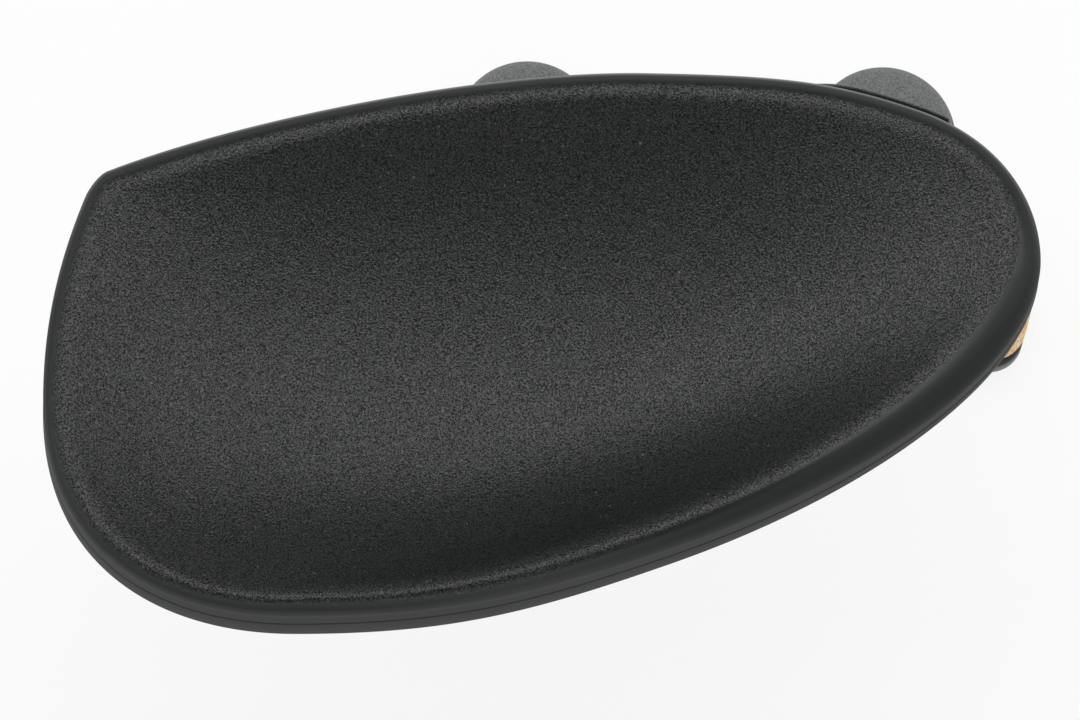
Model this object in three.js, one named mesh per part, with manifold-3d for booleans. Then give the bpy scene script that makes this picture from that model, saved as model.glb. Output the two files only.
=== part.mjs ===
// A side-mounted violin chinrest: a two-shell chin cup on a bracket with two posts. Each post holds a keyed
// jaw that an M5 screw draws up against the violin's back, under a cork-lined foot that tilts on a ball stud.
// Millimetres, +Z up. +X runs along the cup to its narrow end, and +Y points to the player, where the posts are.

import * as THREE from "three";
import { mergeVertices } from "three/addons/utils/BufferGeometryUtils.js";
import Module from "manifold-3d";

const wasm = await Module();
wasm.setup();

// Clearances
const gap = 0.3; // between pieces that are cut to fit each other or slide
const glueLine = 0.2; // between a cork and the face it is glued to
const overrun = 2; // how far a cutter runs past the face it opens
const weldDistance = 1e-4; // corners nearer than this are one

// The cup's outline, rim and bowl
const cupHalfLength = 56.6;
const cupHalfWidth = 32.5;
const rimRise = 9.5; // from the rim's lowest stretch to its highest
const rimRisePower = 2; // the crest climbs as this power of the way across the cup
const rimRoll = 3; // width of the rolled edge where it is slimmest
const rimRollGrowth = 1.4; // how much wider it is where the rim is highest
const rimRollDrop = 3.4; // how far the roll falls to the outer wall
const landWidth = 0.5; // narrow land between the roll and the bowl
const landDrop = 0.35;
const bowlDepth = 5.6; // from the rim's lowest stretch to the bowl's lowest point
const bowlCentreX = -3; // the bowl's rings run round this point
const bowlCentreY = -8;
const dishCentreX = 2; // the bowl's lowest point
const dishCentreY = 2;
const dishRise = 4.4; // how far the dish climbs to a share of the cup's half length or half width
const dishLengthShare = 0.785;
const dishWidthShare = 0.815;
const wallReach = 20; // how far in from the crease the bowl's wall begins to climb
const wallPower = 3;
const plateWall = 2.4;
const lipWall = 2.2;
const lipRoof = 2.6; // height of the lip's inner wall above the seam
const seamDrop = 6; // from the rim's crest to the seam between the two shells
const shellWall = 2.2;
const shellSide = 2.4; // height of the under shell's wall where the rim is lowest
const shellSideGrowth = 2; // how much taller it is where the rim is highest
const shellChamfer = 0.4;
const shellTurnIn = 3.4; // how far the under shell's lower edge turns inwards
const shellTurnDrop = 1.2;
const shellGap = 1.2; // between the plate and the under shell at the bowl's lowest point

// Clamp heights, from the table up
const jawThickness = 4.4;
const corkThickness = 2;
const edgeGap = 38.4; // the violin's edge between the corks: ribs and both plates
const footThickness = 4.2;
const footFloor = 0.6; // under the ball's socket
const ballRadius = 2.8;
const hubRise = 2.1; // from the ball's centre to the top of the foot's hub
const tiltRoom = 1.2; // between the hub and the bracket
const bracketThickness = 3.6;

// Posts and their jaws
const postSpacing = 41;
const postMiddleX = 19;
const postMiddleY = 28.05;
const postOffset = 0.35; // the left post stands this much farther out than the middle, and the right one nearer
const postRadius = 8.5;
const postBottom = 22;
const domeRise = 4.4; // from the bracket's underside to the dome's top
const domeShoulder = 7.5; // height of the dome's rounded shoulder
const pocketSide = 10; // square pocket that keys the jaw's column
const jawPuckHeight = 9;
const jawTravel = 5; // up and down from rest
const travelStop = 0.5; // left at the end of that travel
const jawReachOut = 20.3; // from the post's axis to the jaw's outer side
const jawReachIn = 13.4; // from the post's axis to the jaw's inner side
const jawDepth = 18.1; // from the post's axis to the jaw's inner end
const jawBack = 6; // from the post's axis to the back of the jaw's wings
const jawCorner = 4;
const jawLean = 2.2; // how far the outer side leans in over the jaw's depth
const corkSetBack = 0.8; // from the jaw's inner end to its cork
const corkBackCorner = 1.5;

// Clamp screws and their inserts
const screwRadius = 2.5;
const screwHeadRadius = 4.25;
const screwHeadHeight = 4.8;
const screwHeadRecess = 0.5;
const screwLength = 45;
const socketAcross = 4;
const socketDepth = 2.6;
const washerRadius = 4.3;
const washerThickness = 1;
const retainerRadius = 4;
const retainerThickness = 1;
const insertRadius = 4;
const insertLength = 10;
const insertCover = 6.1; // from the insert's top to the dome's

// Tilting feet
const footReachOut = 14;
const footReachIn = 12;
const footInnerEnd = 21; // from the post's axis to the foot's inner end
const footOuterEnd = 10.4; // from the post's axis to the foot's outer end
const footCorner = 3;
const hubRadius = 4.6;
const ballNeckRadius = 1.3;
const studShankRadius = 1.5;
const studShankLength = 2.4;

// Bracket
const bracketLeft = -17;
const bracketRight = 52.5;
const bracketFront = 8;
const bracketBack = 26;
const bracketShelf = 2.15; // how far the shelf beside the right post stands out past the cup's outline
const bracketShelfStart = 10.6; // from the right post's axis to the shelf's left end
const bracketShelfEnd = 6.9; // from the right post's axis to the shelf's right end
const bracketShelfFloor = 3.2; // height of the shelf above the bracket's underside, inside its lip
const bracketShelfTop = 5.4; // the same for its lip
const bracketShelfLip = 0.5; // thickness of the lip
const bracketCorner = 5;

// Small countersunk screws
const smallScrewRadius = 1.4;
const smallHeadRadius = 2.7;
const smallHeadEdge = 0.3;
const smallHeadSink = 0.2; // how far a head lies below the bracket's flat face
const shellHeadSink = 0.8; // the same below the under shell's curved face
const bracketScrewLength = 9.5;
const shellScrewLength = 5;
const smallSocketAcross = 2;
const smallSocketDepth = 1.1;
const bossRadius = 3.4;

// Facets
const roundSegments = 24;
const smallSegments = 12;
const ballSegments = 16;

// Heights worked out from the stack of pieces
const jawCorkTop = jawThickness + glueLine + corkThickness;
const footCorkBottom = jawCorkTop + edgeGap;
const footBottom = footCorkBottom + corkThickness + glueLine;
const footTop = footBottom + footThickness;
const socketRadius = ballRadius + gap;
const ballHeight = footBottom + footFloor + socketRadius;
const hubTop = ballHeight + hubRise;
const bracketBottom = hubTop + tiltRoom;
const bracketTop = bracketBottom + bracketThickness;
const shellFloor = bracketTop + gap;
const bowlFloor = shellFloor + shellWall + shellGap + plateWall;
const rimLow = bowlFloor + bowlDepth;
const domeTop = bracketBottom + domeRise;
const insertTop = domeTop - insertCover;
const insertBottom = insertTop - insertLength;
const retainerBottom = insertBottom - travelStop - jawTravel - retainerThickness;
const columnTop = retainerBottom - gap / 2;
const posts = {
  left: { x: postMiddleX - postSpacing / 2, y: postMiddleY + postOffset },
  right: { x: postMiddleX + postSpacing / 2, y: postMiddleY - postOffset },
};

// Materials
const moulded = (color, roughness) => new THREE.MeshStandardMaterial({ color, roughness, metalness: 0 });
const metal = (color, roughness) => new THREE.MeshStandardMaterial({ color, roughness, metalness: 1 });
const materials = {
  cup: moulded(0x2e3030, 0.5),
  bracket: moulded(0x3c3f40, 0.6),
  jaw: moulded(0x2a2c2c, 0.5),
  cork: moulded(0xc79a66, 0.9),
  steel: metal(0xb8babc, 0.35),
  brass: metal(0xb8944a, 0.4),
};

// A closed mesh's geometry as a solid that can be joined and cut.
function solid(geometry) {
  const bare = geometry.clone();
  bare.deleteAttribute("normal");
  bare.deleteAttribute("uv");
  const merged = mergeVertices(bare, weldDistance);
  return new wasm.Manifold(
    new wasm.Mesh({
      numProp: 3,
      vertProperties: new Float32Array(merged.attributes.position.array),
      triVerts: new Uint32Array(merged.index.array),
    }),
  );
}

// A solid's vertices and triangles as geometry again.
function geometryOf(body) {
  const mesh = body.getMesh();
  const geometry = new THREE.BufferGeometry();
  geometry.setAttribute("position", new THREE.BufferAttribute(new Float32Array(mesh.vertProperties), 3));
  geometry.setIndex(new THREE.BufferAttribute(new Uint32Array(mesh.triVerts), 1));
  geometry.computeVertexNormals();
  return geometry;
}

const part = new THREE.Group();

function addPiece(name, body, material) {
  const mesh = new THREE.Mesh(geometryOf(body), material);
  mesh.name = name;
  part.add(mesh);
}

// A body turned about an upright axis: profile rows are radius and height, from the axis round to the axis.
function turned(x, y, profile, segments = roundSegments) {
  const points = profile.map(([radius, height]) => new THREE.Vector2(radius, height));
  const geometry = new THREE.LatheGeometry(points, segments);
  geometry.rotateX(Math.PI / 2);
  geometry.translate(x, y, 0);
  return solid(geometry);
}

// An upright round bar between two heights.
function bar(x, y, radius, low, high, segments = roundSegments) {
  const profile = [[0, low], [radius, low], [radius, high], [0, high]];
  return turned(x, y, profile, segments);
}

// An upright ring between two heights.
function ring(x, y, inner, outer, low, high, segments = roundSegments) {
  const profile = [[inner, low], [outer, low], [outer, high], [inner, high], [inner, low]];
  return turned(x, y, profile, segments);
}

// An upright hexagonal bar, by its size across the flats.
function hexBar(x, y, across, low, high) {
  return bar(x, y, across / Math.sqrt(3), low, high, 6);
}

// A box given by its lowest and highest corners.
function block(lowX, lowY, lowZ, highX, highY, highZ) {
  const geometry = new THREE.BoxGeometry(highX - lowX, highY - lowY, highZ - lowZ);
  geometry.translate((lowX + highX) / 2, (lowY + highY) / 2, (lowZ + highZ) / 2);
  return solid(geometry);
}

// A flat outline raised between two heights.
function raised(shape, low, high) {
  const geometry = new THREE.ExtrudeGeometry(shape, { depth: high - low, bevelEnabled: false, curveSegments: 5 });
  geometry.translate(0, 0, low);
  return solid(geometry);
}

// The cup's outline: eight nodes, clockwise from the corner's upper end. Each row has the node's place as shares
// of the half length and half width, the heading in degrees, the handles before and after it as shares of the
// half length, and the number of facets after the node.
const outlineShares = [
  [-0.871, 0.652, 21.9, 0.0141, 0.292, 10],
  [0.21, 1.005, -1, 0.317, 0.275, 7],
  [0.757, 0.875, -19.2, 0.178, 0.186, 6],
  [1.005, 0.333, -90, 0.118, 0.207, 12],
  [0.261, -0.737, -160, 0.452, 0.294, 8],
  [-0.486, -0.991, -180, 0.309, 0.278, 10],
  [-0.996, -0.17, -270, 0.324, 0.149, 6],
  [-0.914, 0.559, -291.7, 0.149, 0.0228, 3],
];

// Points along the outline, clockwise.
function outlinePoints() {
  const points = [];
  outlineShares.forEach((row, index) => {
    const [x, y, heading, , handleAfter, steps] = row;
    const [nextX, nextY, nextHeading, handleBefore] = outlineShares[(index + 1) % outlineShares.length];
    const start = new THREE.Vector2(x * cupHalfLength, y * cupHalfWidth);
    const end = new THREE.Vector2(nextX * cupHalfLength, nextY * cupHalfWidth);
    const reach = (degrees, share) =>
      new THREE.Vector2(share * cupHalfLength, 0).rotateAround(new THREE.Vector2(), THREE.MathUtils.degToRad(degrees));
    const curve = new THREE.CubicBezierCurve(
      start,
      start.clone().add(reach(heading, handleAfter)),
      end.clone().sub(reach(nextHeading, handleBefore)),
      end,
    );
    for (let step = 0; step < steps; step++) points.push(curve.getPoint(step / steps));
  });
  return points;
}

const outline = outlinePoints();

// For each outline point: its angle round the bowl's centre, the unit direction and distance to that centre, how
// much of a step that way is a step square to the edge, and how far the rim's crest has risen there.
const rays = outline.map((point, index) => {
  const before = outline[(index + outline.length - 1) % outline.length];
  const after = outline[(index + 1) % outline.length];
  const edge = after.clone().sub(before).normalize();
  const toCentre = new THREE.Vector2(bowlCentreX, bowlCentreY).sub(point);
  const length = toCentre.length();
  toCentre.normalize();
  const angle = Math.atan2(-toCentre.y, -toCentre.x);
  const across = (cupHalfWidth - point.y) / (2 * cupHalfWidth);
  const rise = Math.max(across, 0) ** rimRisePower;
  return {
    x: point.x,
    y: point.y,
    angle,
    toCentre,
    length,
    squareness: toCentre.x * edge.y - toCentre.y * edge.x,
    rise,
    crest: rimLow + rimRise * rise,
  };
});

const rollWidth = (ray) => rimRoll + rimRollGrowth * ray.rise;
const creaseInset = (ray) => rollWidth(ray) + landWidth;
const creaseHeight = (ray) => ray.crest - landDrop;
const seamHeight = (ray) => ray.crest - seamDrop;
const shellSideBottom = (ray) => seamHeight(ray) - shellSide - shellSideGrowth * ray.rise;

// How far out a ring inset by some width lies on each ray, and the same evened out round the bowl's centre, so
// that the outline's corner fades out towards the middle of the bowl.
const evenSpread = 0.5; // radians
function reachOf(inset) {
  const edge = rays.map((ray) => ray.length - inset(ray) / ray.squareness);
  const even = rays.map((ray) => {
    let total = 0;
    let weights = 0;
    rays.forEach((other, index) => {
      const before = rays[(index + rays.length - 1) % rays.length];
      const after = rays[(index + 1) % rays.length];
      const apart = Math.atan2(Math.sin(other.angle - ray.angle), Math.cos(other.angle - ray.angle));
      const span = Math.abs(Math.atan2(Math.sin(before.angle - after.angle), Math.cos(before.angle - after.angle)));
      const weight = span * Math.exp(-((apart / evenSpread) ** 2));
      total += weight * edge[index];
      weights += weight;
    });
    return total / weights;
  });
  return { edge, even };
}

// A ring of points: inset is the distance in from the outline, square to it, and height is per point.
function insetRing(inset, height) {
  return rays.map((ray) => {
    const step = inset(ray) / ray.squareness;
    return new THREE.Vector3(ray.x + ray.toCentre.x * step, ray.y + ray.toCentre.y * step, height(ray));
  });
}

// A ring part of the way from the bowl's centre to an inset ring. Its height follows the evened-out distance in
// the middle of the bowl and the true one at the rim.
function innerRing(reach, share, height) {
  return rays.map((ray, index) => {
    const out = reach.edge[index] * share;
    const hold = share ** 6;
    const scale = reach.edge[index] * hold + reach.even[index] * (1 - hold);
    const x = bowlCentreX - ray.toCentre.x * out;
    const y = bowlCentreY - ray.toCentre.y * out;
    return new THREE.Vector3(x, y, height(ray, out / scale, x, y));
  });
}

// The dish climbs with the square of the way from its lowest point, along the cup and across it.
function dishHeight(x, y) {
  const along = (x - dishCentreX) / (dishLengthShare * cupHalfLength);
  const across = (y - dishCentreY) / (dishWidthShare * cupHalfWidth);
  return bowlFloor + dishRise * (along ** 2 + across ** 2);
}

// Marks along the crease, each with the stretch it stands for and its height over the dish.
const marksPerFacet = 6;
const crease = insetRing(creaseInset, creaseHeight);
const creaseMarks = crease.flatMap((start, index) => {
  const end = crease[(index + 1) % crease.length];
  const stretch = Math.hypot(end.x - start.x, end.y - start.y) / marksPerFacet;
  return Array.from({ length: marksPerFacet }, (_, step) => {
    const { x, y, z } = start.clone().lerp(end, step / marksPerFacet);
    return { x, y, stretch, lift: z - dishHeight(x, y) };
  });
});

// The bowl is the dish and a wall that climbs from it to the crease. Each mark counts by the inverse cube of its
// distance. Twice over their total is the square of the way in from a straight crease, and their mean lift is the
// wall's full height, which fades with a power of the way in.
function bowlHeightAt(x, y) {
  let total = 0;
  let lift = 0;
  for (const mark of creaseMarks) {
    const weight = mark.stretch / Math.max(Math.hypot(x - mark.x, y - mark.y), weldDistance) ** 3;
    total += weight;
    lift += weight * mark.lift;
  }
  const fade = Math.max(1 - Math.sqrt(2 / total) / wallReach, 0) ** wallPower;
  return dishHeight(x, y) + (lift / total) * fade;
}
const bowlHeight = (_ray, _share, x, y) => bowlHeightAt(x, y);
const bellyEdge = (ray) => shellSideBottom(ray) - shellTurnDrop;
const bellyHeight = (ray, share) => shellFloor + (bellyEdge(ray) - shellFloor) * share ** 4;
const bowlRingShares = [1, 0.93, 0.84, 0.72, 0.58, 0.42, 0.24];
const bellyRingShares = [1, 0.9, 0.76, 0.56, 0.3];
const bowlReach = reachOf(creaseInset);
const bellyReach = reachOf(() => shellTurnIn);
const bowlRings = bowlRingShares.map((share) => innerRing(bowlReach, share, bowlHeight));
const bellyRings = bellyRingShares.map((share) => innerRing(bellyReach, share, bellyHeight));

// Moves rings along the surface's own normal. The first ring is the outermost, and the pole is the centre.
function offsetRings(rings, pole, distance) {
  return rings.map((ringPoints, level) =>
    ringPoints.map((point, index) => {
      const count = ringPoints.length;
      const ahead = ringPoints[(index + 1) % count];
      const behind = ringPoints[(index + count - 1) % count];
      const outer = rings[Math.max(level - 1, 0)][index];
      const inner = level + 1 < rings.length ? rings[level + 1][index] : pole;
      const around = new THREE.Vector3().subVectors(ahead, behind);
      const inward = new THREE.Vector3().subVectors(inner, outer);
      const normal = new THREE.Vector3().crossVectors(inward, around).normalize();
      return point.clone().addScaledVector(normal, distance);
    }),
  );
}

// A closed body from a stack of rings between two poles, top pole first.
function ringStack(topPole, rings, bottomPole) {
  const count = rays.length;
  const vertices = [topPole, ...rings.flat(), bottomPole];
  const positions = new Float32Array(vertices.flatMap((vertex) => vertex.toArray()));
  const indices = [];
  const at = (level, index) => 1 + level * count + (index % count);
  const last = vertices.length - 1;
  for (let index = 0; index < count; index++) {
    indices.push(0, at(0, index + 1), at(0, index));
    for (let level = 0; level + 1 < rings.length; level++) {
      indices.push(at(level, index), at(level, index + 1), at(level + 1, index));
      indices.push(at(level, index + 1), at(level + 1, index + 1), at(level + 1, index));
    }
    indices.push(last, at(rings.length - 1, index), at(rings.length - 1, index + 1));
  }
  const geometry = new THREE.BufferGeometry();
  geometry.setAttribute("position", new THREE.BufferAttribute(positions, 3));
  geometry.setIndex(indices);
  return solid(geometry);
}

const centre = (height) => new THREE.Vector3(bowlCentreX, bowlCentreY, height);
const bowlMiddle = bowlHeightAt(bowlCentreX, bowlCentreY);

// Rings of the rolled rim, from the crease out and down to the seam.
const rollAngles = [0, 30, 60, 90].map((degrees) => THREE.MathUtils.degToRad(degrees));
const rollRings = rollAngles.map((angle) =>
  insetRing(
    (ray) => rollWidth(ray) * (1 - Math.sin(angle)),
    (ray) => ray.crest - rimRollDrop * (1 - Math.cos(angle)),
  ),
);
const seamRing = (inset, lift) => insetRing(() => inset, (ray) => seamHeight(ray) + lift);

// Upper shell: the bowl, the rolled rim, the lip down to the seam and the underside.
const bowlTopInwards = bowlRings.slice().reverse();
const plateUnderside = offsetRings(bowlRings, centre(bowlMiddle), -plateWall);
function plateBody() {
  return ringStack(
    centre(bowlMiddle),
    [...bowlTopInwards, ...rollRings, seamRing(0, 0), seamRing(lipWall, 0), seamRing(lipWall, lipRoof),
      ...plateUnderside.slice(1)],
    centre(bowlMiddle - plateWall),
  );
}

// The under shell's outside, grown by a margin, as rings from its top edge down.
function shellOutside(margin) {
  const side = (inset, height) => insetRing(() => inset - margin, height);
  return [
    side(shellChamfer, (ray) => seamHeight(ray) - gap + margin),
    side(0, (ray) => seamHeight(ray) - gap - shellChamfer),
    side(0, (ray) => shellSideBottom(ray) + shellChamfer),
    side(shellTurnIn / 4, (ray) => shellSideBottom(ray) - shellTurnDrop / 3 - margin),
    ...offsetRings(bellyRings, centre(shellFloor), -margin),
  ];
}

const shellInside = offsetRings(bellyRings, centre(shellFloor), shellWall);

function shellBody() {
  return ringStack(
    centre(shellFloor + shellWall),
    [...shellInside.slice().reverse(),
      insetRing(() => lipWall + gap, (ray) => shellSideBottom(ray) + shellWall),
      insetRing(() => lipWall + gap, (ray) => seamHeight(ray) - gap),
      ...shellOutside(0)],
    centre(shellFloor),
  );
}

// The under shell's outside as a filled body, for cutting what fits against it.
function filledShell(margin) {
  const outside = shellOutside(margin);
  const top = insetRing(() => rimRoll, (ray) => ray.crest);
  return ringStack(centre(rimLow + rimRise), [top, ...outside], centre(shellFloor - margin));
}

// The room between the two shells, from inside the plate's wall to just above the under shell's floor.
function bossRoom() {
  const plateMiddle = offsetRings(bowlRings, centre(bowlMiddle), -plateWall / 2);
  const aboveFloor = offsetRings(bellyRings, centre(shellFloor), shellWall + gap);
  return ringStack(
    centre(bowlMiddle - plateWall / 2),
    [...plateMiddle.slice(1).reverse(), ...aboveFloor],
    centre(shellFloor + shellWall + gap),
  );
}

// Places of the small screws: as shares of the way across the bracket, and of the cup's half length and half width.
const bracketScrewShares = [[0.073, 0.57], [0.416, 0.89], [0.619, 0.89], [0.945, 0.28]];
const shellScrewShares = [[-0.66, 0.3], [-0.66, -0.46], [-0.14, -0.64], [0.38, -0.36]];

// Height of the under shell's outside above a place, found by the ray that runs nearest to it.
function shellUndersideAt(x, y) {
  const angle = Math.atan2(y - bowlCentreY, x - bowlCentreX);
  const turns = rays.map((ray) => Math.cos(ray.angle - angle));
  const nearest = turns.indexOf(Math.max(...turns));
  const distance = Math.hypot(x - bowlCentreX, y - bowlCentreY);
  return bellyHeight(rays[nearest], distance / bellyReach.edge[nearest]);
}

// Each small screw has its place, the height of its head's face and its length.
const bracketScrews = bracketScrewShares.map(([x, y]) => ({
  x: THREE.MathUtils.lerp(bracketLeft, bracketRight, x),
  y: THREE.MathUtils.lerp(bracketFront, bracketBack, y),
  face: bracketBottom + smallHeadSink,
  length: bracketScrewLength,
}));
const shellScrews = shellScrewShares.map(([across, along]) => {
  const x = across * cupHalfLength;
  const y = along * cupHalfWidth;
  return { x, y, face: shellUndersideAt(x, y) + shellHeadSink, length: shellScrewLength };
});

// A countersunk screw's profile, grown by a margin, with its head opened downwards by a run.
function smallScrewProfile(screw, margin, run) {
  const cone = smallHeadRadius - smallScrewRadius;
  return [
    [0, screw.face - run],
    [smallHeadRadius + margin, screw.face - run],
    [smallHeadRadius + margin, screw.face + smallHeadEdge],
    [smallScrewRadius + margin, screw.face + smallHeadEdge + cone],
    [smallScrewRadius + margin, screw.face + screw.length + margin],
    [0, screw.face + screw.length + margin],
  ];
}

function smallScrew(screw) {
  const socket = hexBar(screw.x, screw.y, smallSocketAcross, screw.face - overrun, screw.face + smallSocketDepth);
  return turned(screw.x, screw.y, smallScrewProfile(screw, 0, 0), smallSegments).subtract(socket);
}

const smallScrewHoles = [...bracketScrews, ...shellScrews]
  .map((screw) => turned(screw.x, screw.y, smallScrewProfile(screw, gap, 2 * overrun), smallSegments))
  .reduce((joined, hole) => joined.add(hole));

// The bracket's flat outline under the cup.
function bracketShape() {
  const shape = new THREE.Shape();
  shape.moveTo(bracketLeft + bracketCorner, bracketFront);
  shape.lineTo(bracketRight - bracketCorner, bracketFront);
  shape.quadraticCurveTo(bracketRight, bracketFront, bracketRight, bracketFront + bracketCorner);
  shape.lineTo(posts.right.x + postRadius, bracketBack);
  shape.lineTo(posts.right.x, posts.right.y);
  shape.lineTo(posts.left.x, posts.left.y);
  shape.lineTo(bracketLeft, bracketBack - bracketCorner);
  shape.lineTo(bracketLeft, bracketFront + bracketCorner);
  shape.quadraticCurveTo(bracketLeft, bracketFront, bracketLeft + bracketCorner, bracketFront);
  return shape;
}

// The shelf beside the right post: a stretch of the cup's outline that stands out more and more past it, up to the
// post's axis, with a lip along its edge and round its ends.
function shelfBody() {
  const { x, y } = posts.right;
  const standOut = (ray) => bracketShelf * THREE.MathUtils.smoothstep(ray.x, x - bracketShelfStart, x);
  const shape = (inset) => {
    const points = insetRing((ray) => inset - standOut(ray), () => 0);
    return new THREE.Shape(points.map((point) => new THREE.Vector2(point.x, point.y)));
  };
  const top = bracketBottom + bracketShelfTop;
  const stretch = (margin) => {
    const left = x - bracketShelfStart + margin;
    return block(left, y - postRadius, bracketBottom, x + bracketShelfEnd - margin, y + postRadius, top + overrun);
  };
  const inside = raised(shape(bracketShelfLip), bracketBottom + bracketShelfFloor, top + overrun);
  const edge = raised(shape(0), bracketBottom, top).subtract(inside.intersect(stretch(bracketShelfLip)));
  return edge.intersect(stretch(0));
}

// A post's outside: a round column with a softly domed top.
const domeProfileShares = [[0, 1], [0.36, 0.985], [0.64, 0.9], [0.84, 0.72], [0.96, 0.42], [1, 0]];
function postBody({ x, y }) {
  const shoulder = domeTop - domeShoulder;
  const dome = domeProfileShares.map(([out, up]) => [out * postRadius, shoulder + up * domeShoulder]);
  return turned(x, y, [[0, postBottom], [postRadius, postBottom], ...dome.reverse()]);
}

const underHead = screwHeadRecess + screwHeadHeight;
const screwTip = underHead + screwLength;
const pocketTop = insertBottom - gap;

// The hollow inside a post: the square pocket, the insert's bore and the room for the screw's tip.
function postHollow({ x, y }) {
  const half = pocketSide / 2;
  const pocket = block(x - half, y - half, postBottom - overrun, x + half, y + half, pocketTop);
  const bore = bar(x, y, insertRadius + gap, pocketTop - overrun, insertTop + gap);
  const tip = bar(x, y, screwRadius + gap, insertTop, screwTip + jawTravel + travelStop);
  return pocket.add(bore).add(tip);
}

const ballPlace = (side) => {
  const out = side === "left" ? -1 : 1;
  return {
    x: posts[side].x + (out * (footReachOut - footReachIn)) / 2,
    y: posts[side].y - (footInnerEnd + footOuterEnd) / 2,
  };
};

function bracketBody() {
  let body = raised(bracketShape(), bracketBottom, bracketTop + bracketThickness);
  body = body.add(shelfBody()).subtract(filledShell(gap));
  for (const side of ["left", "right"]) {
    const ball = ballPlace(side);
    const shankHole = bar(
      ball.x,
      ball.y,
      studShankRadius + gap,
      bracketBottom - overrun,
      bracketBottom + studShankLength + gap,
      smallSegments,
    );
    body = body.add(postBody(posts[side])).subtract(postHollow(posts[side])).subtract(shankHole);
  }
  return body.subtract(smallScrewHoles);
}

// A jaw's flat outline. Sizes are out from the post's axis, and out is 1 on the right jaw and -1 on the left.
function jawShape(side, front, back, backCorner) {
  const out = side === "left" ? -1 : 1;
  const x = (reach) => posts[side].x + out * reach;
  const y = (depth) => posts[side].y - depth;
  const outerFront = jawReachOut - jawLean;
  const outerBack = jawReachOut;
  const innerSide = -jawReachIn;
  const shape = new THREE.Shape();
  shape.moveTo(x(innerSide + jawCorner), y(front));
  shape.lineTo(x(outerFront - jawCorner), y(front));
  shape.quadraticCurveTo(x(outerFront), y(front), x(outerFront + jawLean / 3), y(front - jawCorner));
  shape.lineTo(x(outerBack), y(back + backCorner));
  shape.quadraticCurveTo(x(outerBack), y(back), x(outerBack - backCorner), y(back));
  shape.lineTo(x(innerSide + backCorner), y(back));
  shape.quadraticCurveTo(x(innerSide), y(back), x(innerSide), y(back + backCorner));
  shape.lineTo(x(innerSide), y(front - jawCorner));
  shape.quadraticCurveTo(x(innerSide), y(front), x(innerSide + jawCorner), y(front));
  return shape;
}

function jawBody(side) {
  const { x, y } = posts[side];
  const half = pocketSide / 2 - gap;
  const puckRing = [
    [0, 0],
    [postRadius - shellChamfer, 0],
    [postRadius, shellChamfer],
    [postRadius, jawPuckHeight - shellChamfer],
    [postRadius - shellChamfer, jawPuckHeight],
    [0, jawPuckHeight],
  ];
  const plate = raised(jawShape(side, jawDepth, jawBack, jawCorner), 0, jawThickness);
  const puck = turned(x, y, puckRing);
  const column = block(x - half, y - half, 0, x + half, y + half, columnTop);
  const headRecess = bar(x, y, washerRadius + gap, -overrun, underHead + washerThickness + gap);
  const shankHole = bar(x, y, screwRadius + gap, 0, columnTop + overrun);
  return plate.add(puck).add(column).subtract(headRecess).subtract(shankHole);
}

function clampScrewBody({ x, y }) {
  const profile = [
    [0, screwHeadRecess],
    [screwHeadRadius - shellChamfer, screwHeadRecess],
    [screwHeadRadius, screwHeadRecess + shellChamfer],
    [screwHeadRadius, underHead - gap],
    [screwRadius, underHead - gap],
    [screwRadius, screwTip - shellChamfer],
    [screwRadius - shellChamfer, screwTip],
    [0, screwTip],
  ];
  const socket = hexBar(x, y, socketAcross, screwHeadRecess - overrun, screwHeadRecess + socketDepth);
  return turned(x, y, profile, smallSegments).subtract(socket);
}

// A foot's flat outline, from its outer to its inner end.
function footShape(side) {
  const out = side === "left" ? -1 : 1;
  const x = (reach) => posts[side].x + out * reach;
  const front = posts[side].y - footInnerEnd;
  const back = posts[side].y - footOuterEnd;
  const low = -footReachIn;
  const high = footReachOut;
  const shape = new THREE.Shape();
  shape.moveTo(x(low + footCorner), front);
  shape.lineTo(x(high - footCorner), front);
  shape.quadraticCurveTo(x(high), front, x(high), front + footCorner);
  shape.lineTo(x(high), back - footCorner);
  shape.quadraticCurveTo(x(high), back, x(high - footCorner), back);
  shape.lineTo(x(low + footCorner), back);
  shape.quadraticCurveTo(x(low), back, x(low), back - footCorner);
  shape.lineTo(x(low), front + footCorner);
  shape.quadraticCurveTo(x(low), front, x(low + footCorner), front);
  return shape;
}

function footBody(side) {
  const ball = ballPlace(side);
  const sphere = new THREE.SphereGeometry(socketRadius, ballSegments, ballSegments / 2);
  sphere.rotateX(Math.PI / 2);
  sphere.translate(ball.x, ball.y, ballHeight);
  const hub = bar(ball.x, ball.y, hubRadius, footBottom + footFloor, hubTop, ballSegments);
  return raised(footShape(side), footBottom, footTop).add(hub).subtract(solid(sphere));
}

function ballStudBody(side) {
  const ball = ballPlace(side);
  const arc = [];
  const levels = 8;
  const neckTurn = Math.PI - Math.asin(ballNeckRadius / ballRadius);
  for (let level = 0; level <= levels; level++) {
    const turn = (neckTurn * level) / levels;
    arc.push([ballRadius * Math.sin(turn), ballHeight - ballRadius * Math.cos(turn)]);
  }
  const collar = bracketBottom - gap;
  const shankTop = bracketBottom + studShankLength;
  const profile = [
    ...arc,
    [ballNeckRadius, collar],
    [studShankRadius, collar],
    [studShankRadius, shankTop],
    [0, shankTop],
  ];
  return turned(ball.x, ball.y, profile, ballSegments);
}

// The cup
const bosses = [...bracketScrews, ...shellScrews]
  .map((screw) => bar(screw.x, screw.y, bossRadius, shellFloor, rimLow + rimRise, smallSegments))
  .reduce((joined, boss) => joined.add(boss))
  .intersect(bossRoom());
addPiece("chin_plate", plateBody().add(bosses).subtract(smallScrewHoles), materials.cup);

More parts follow.
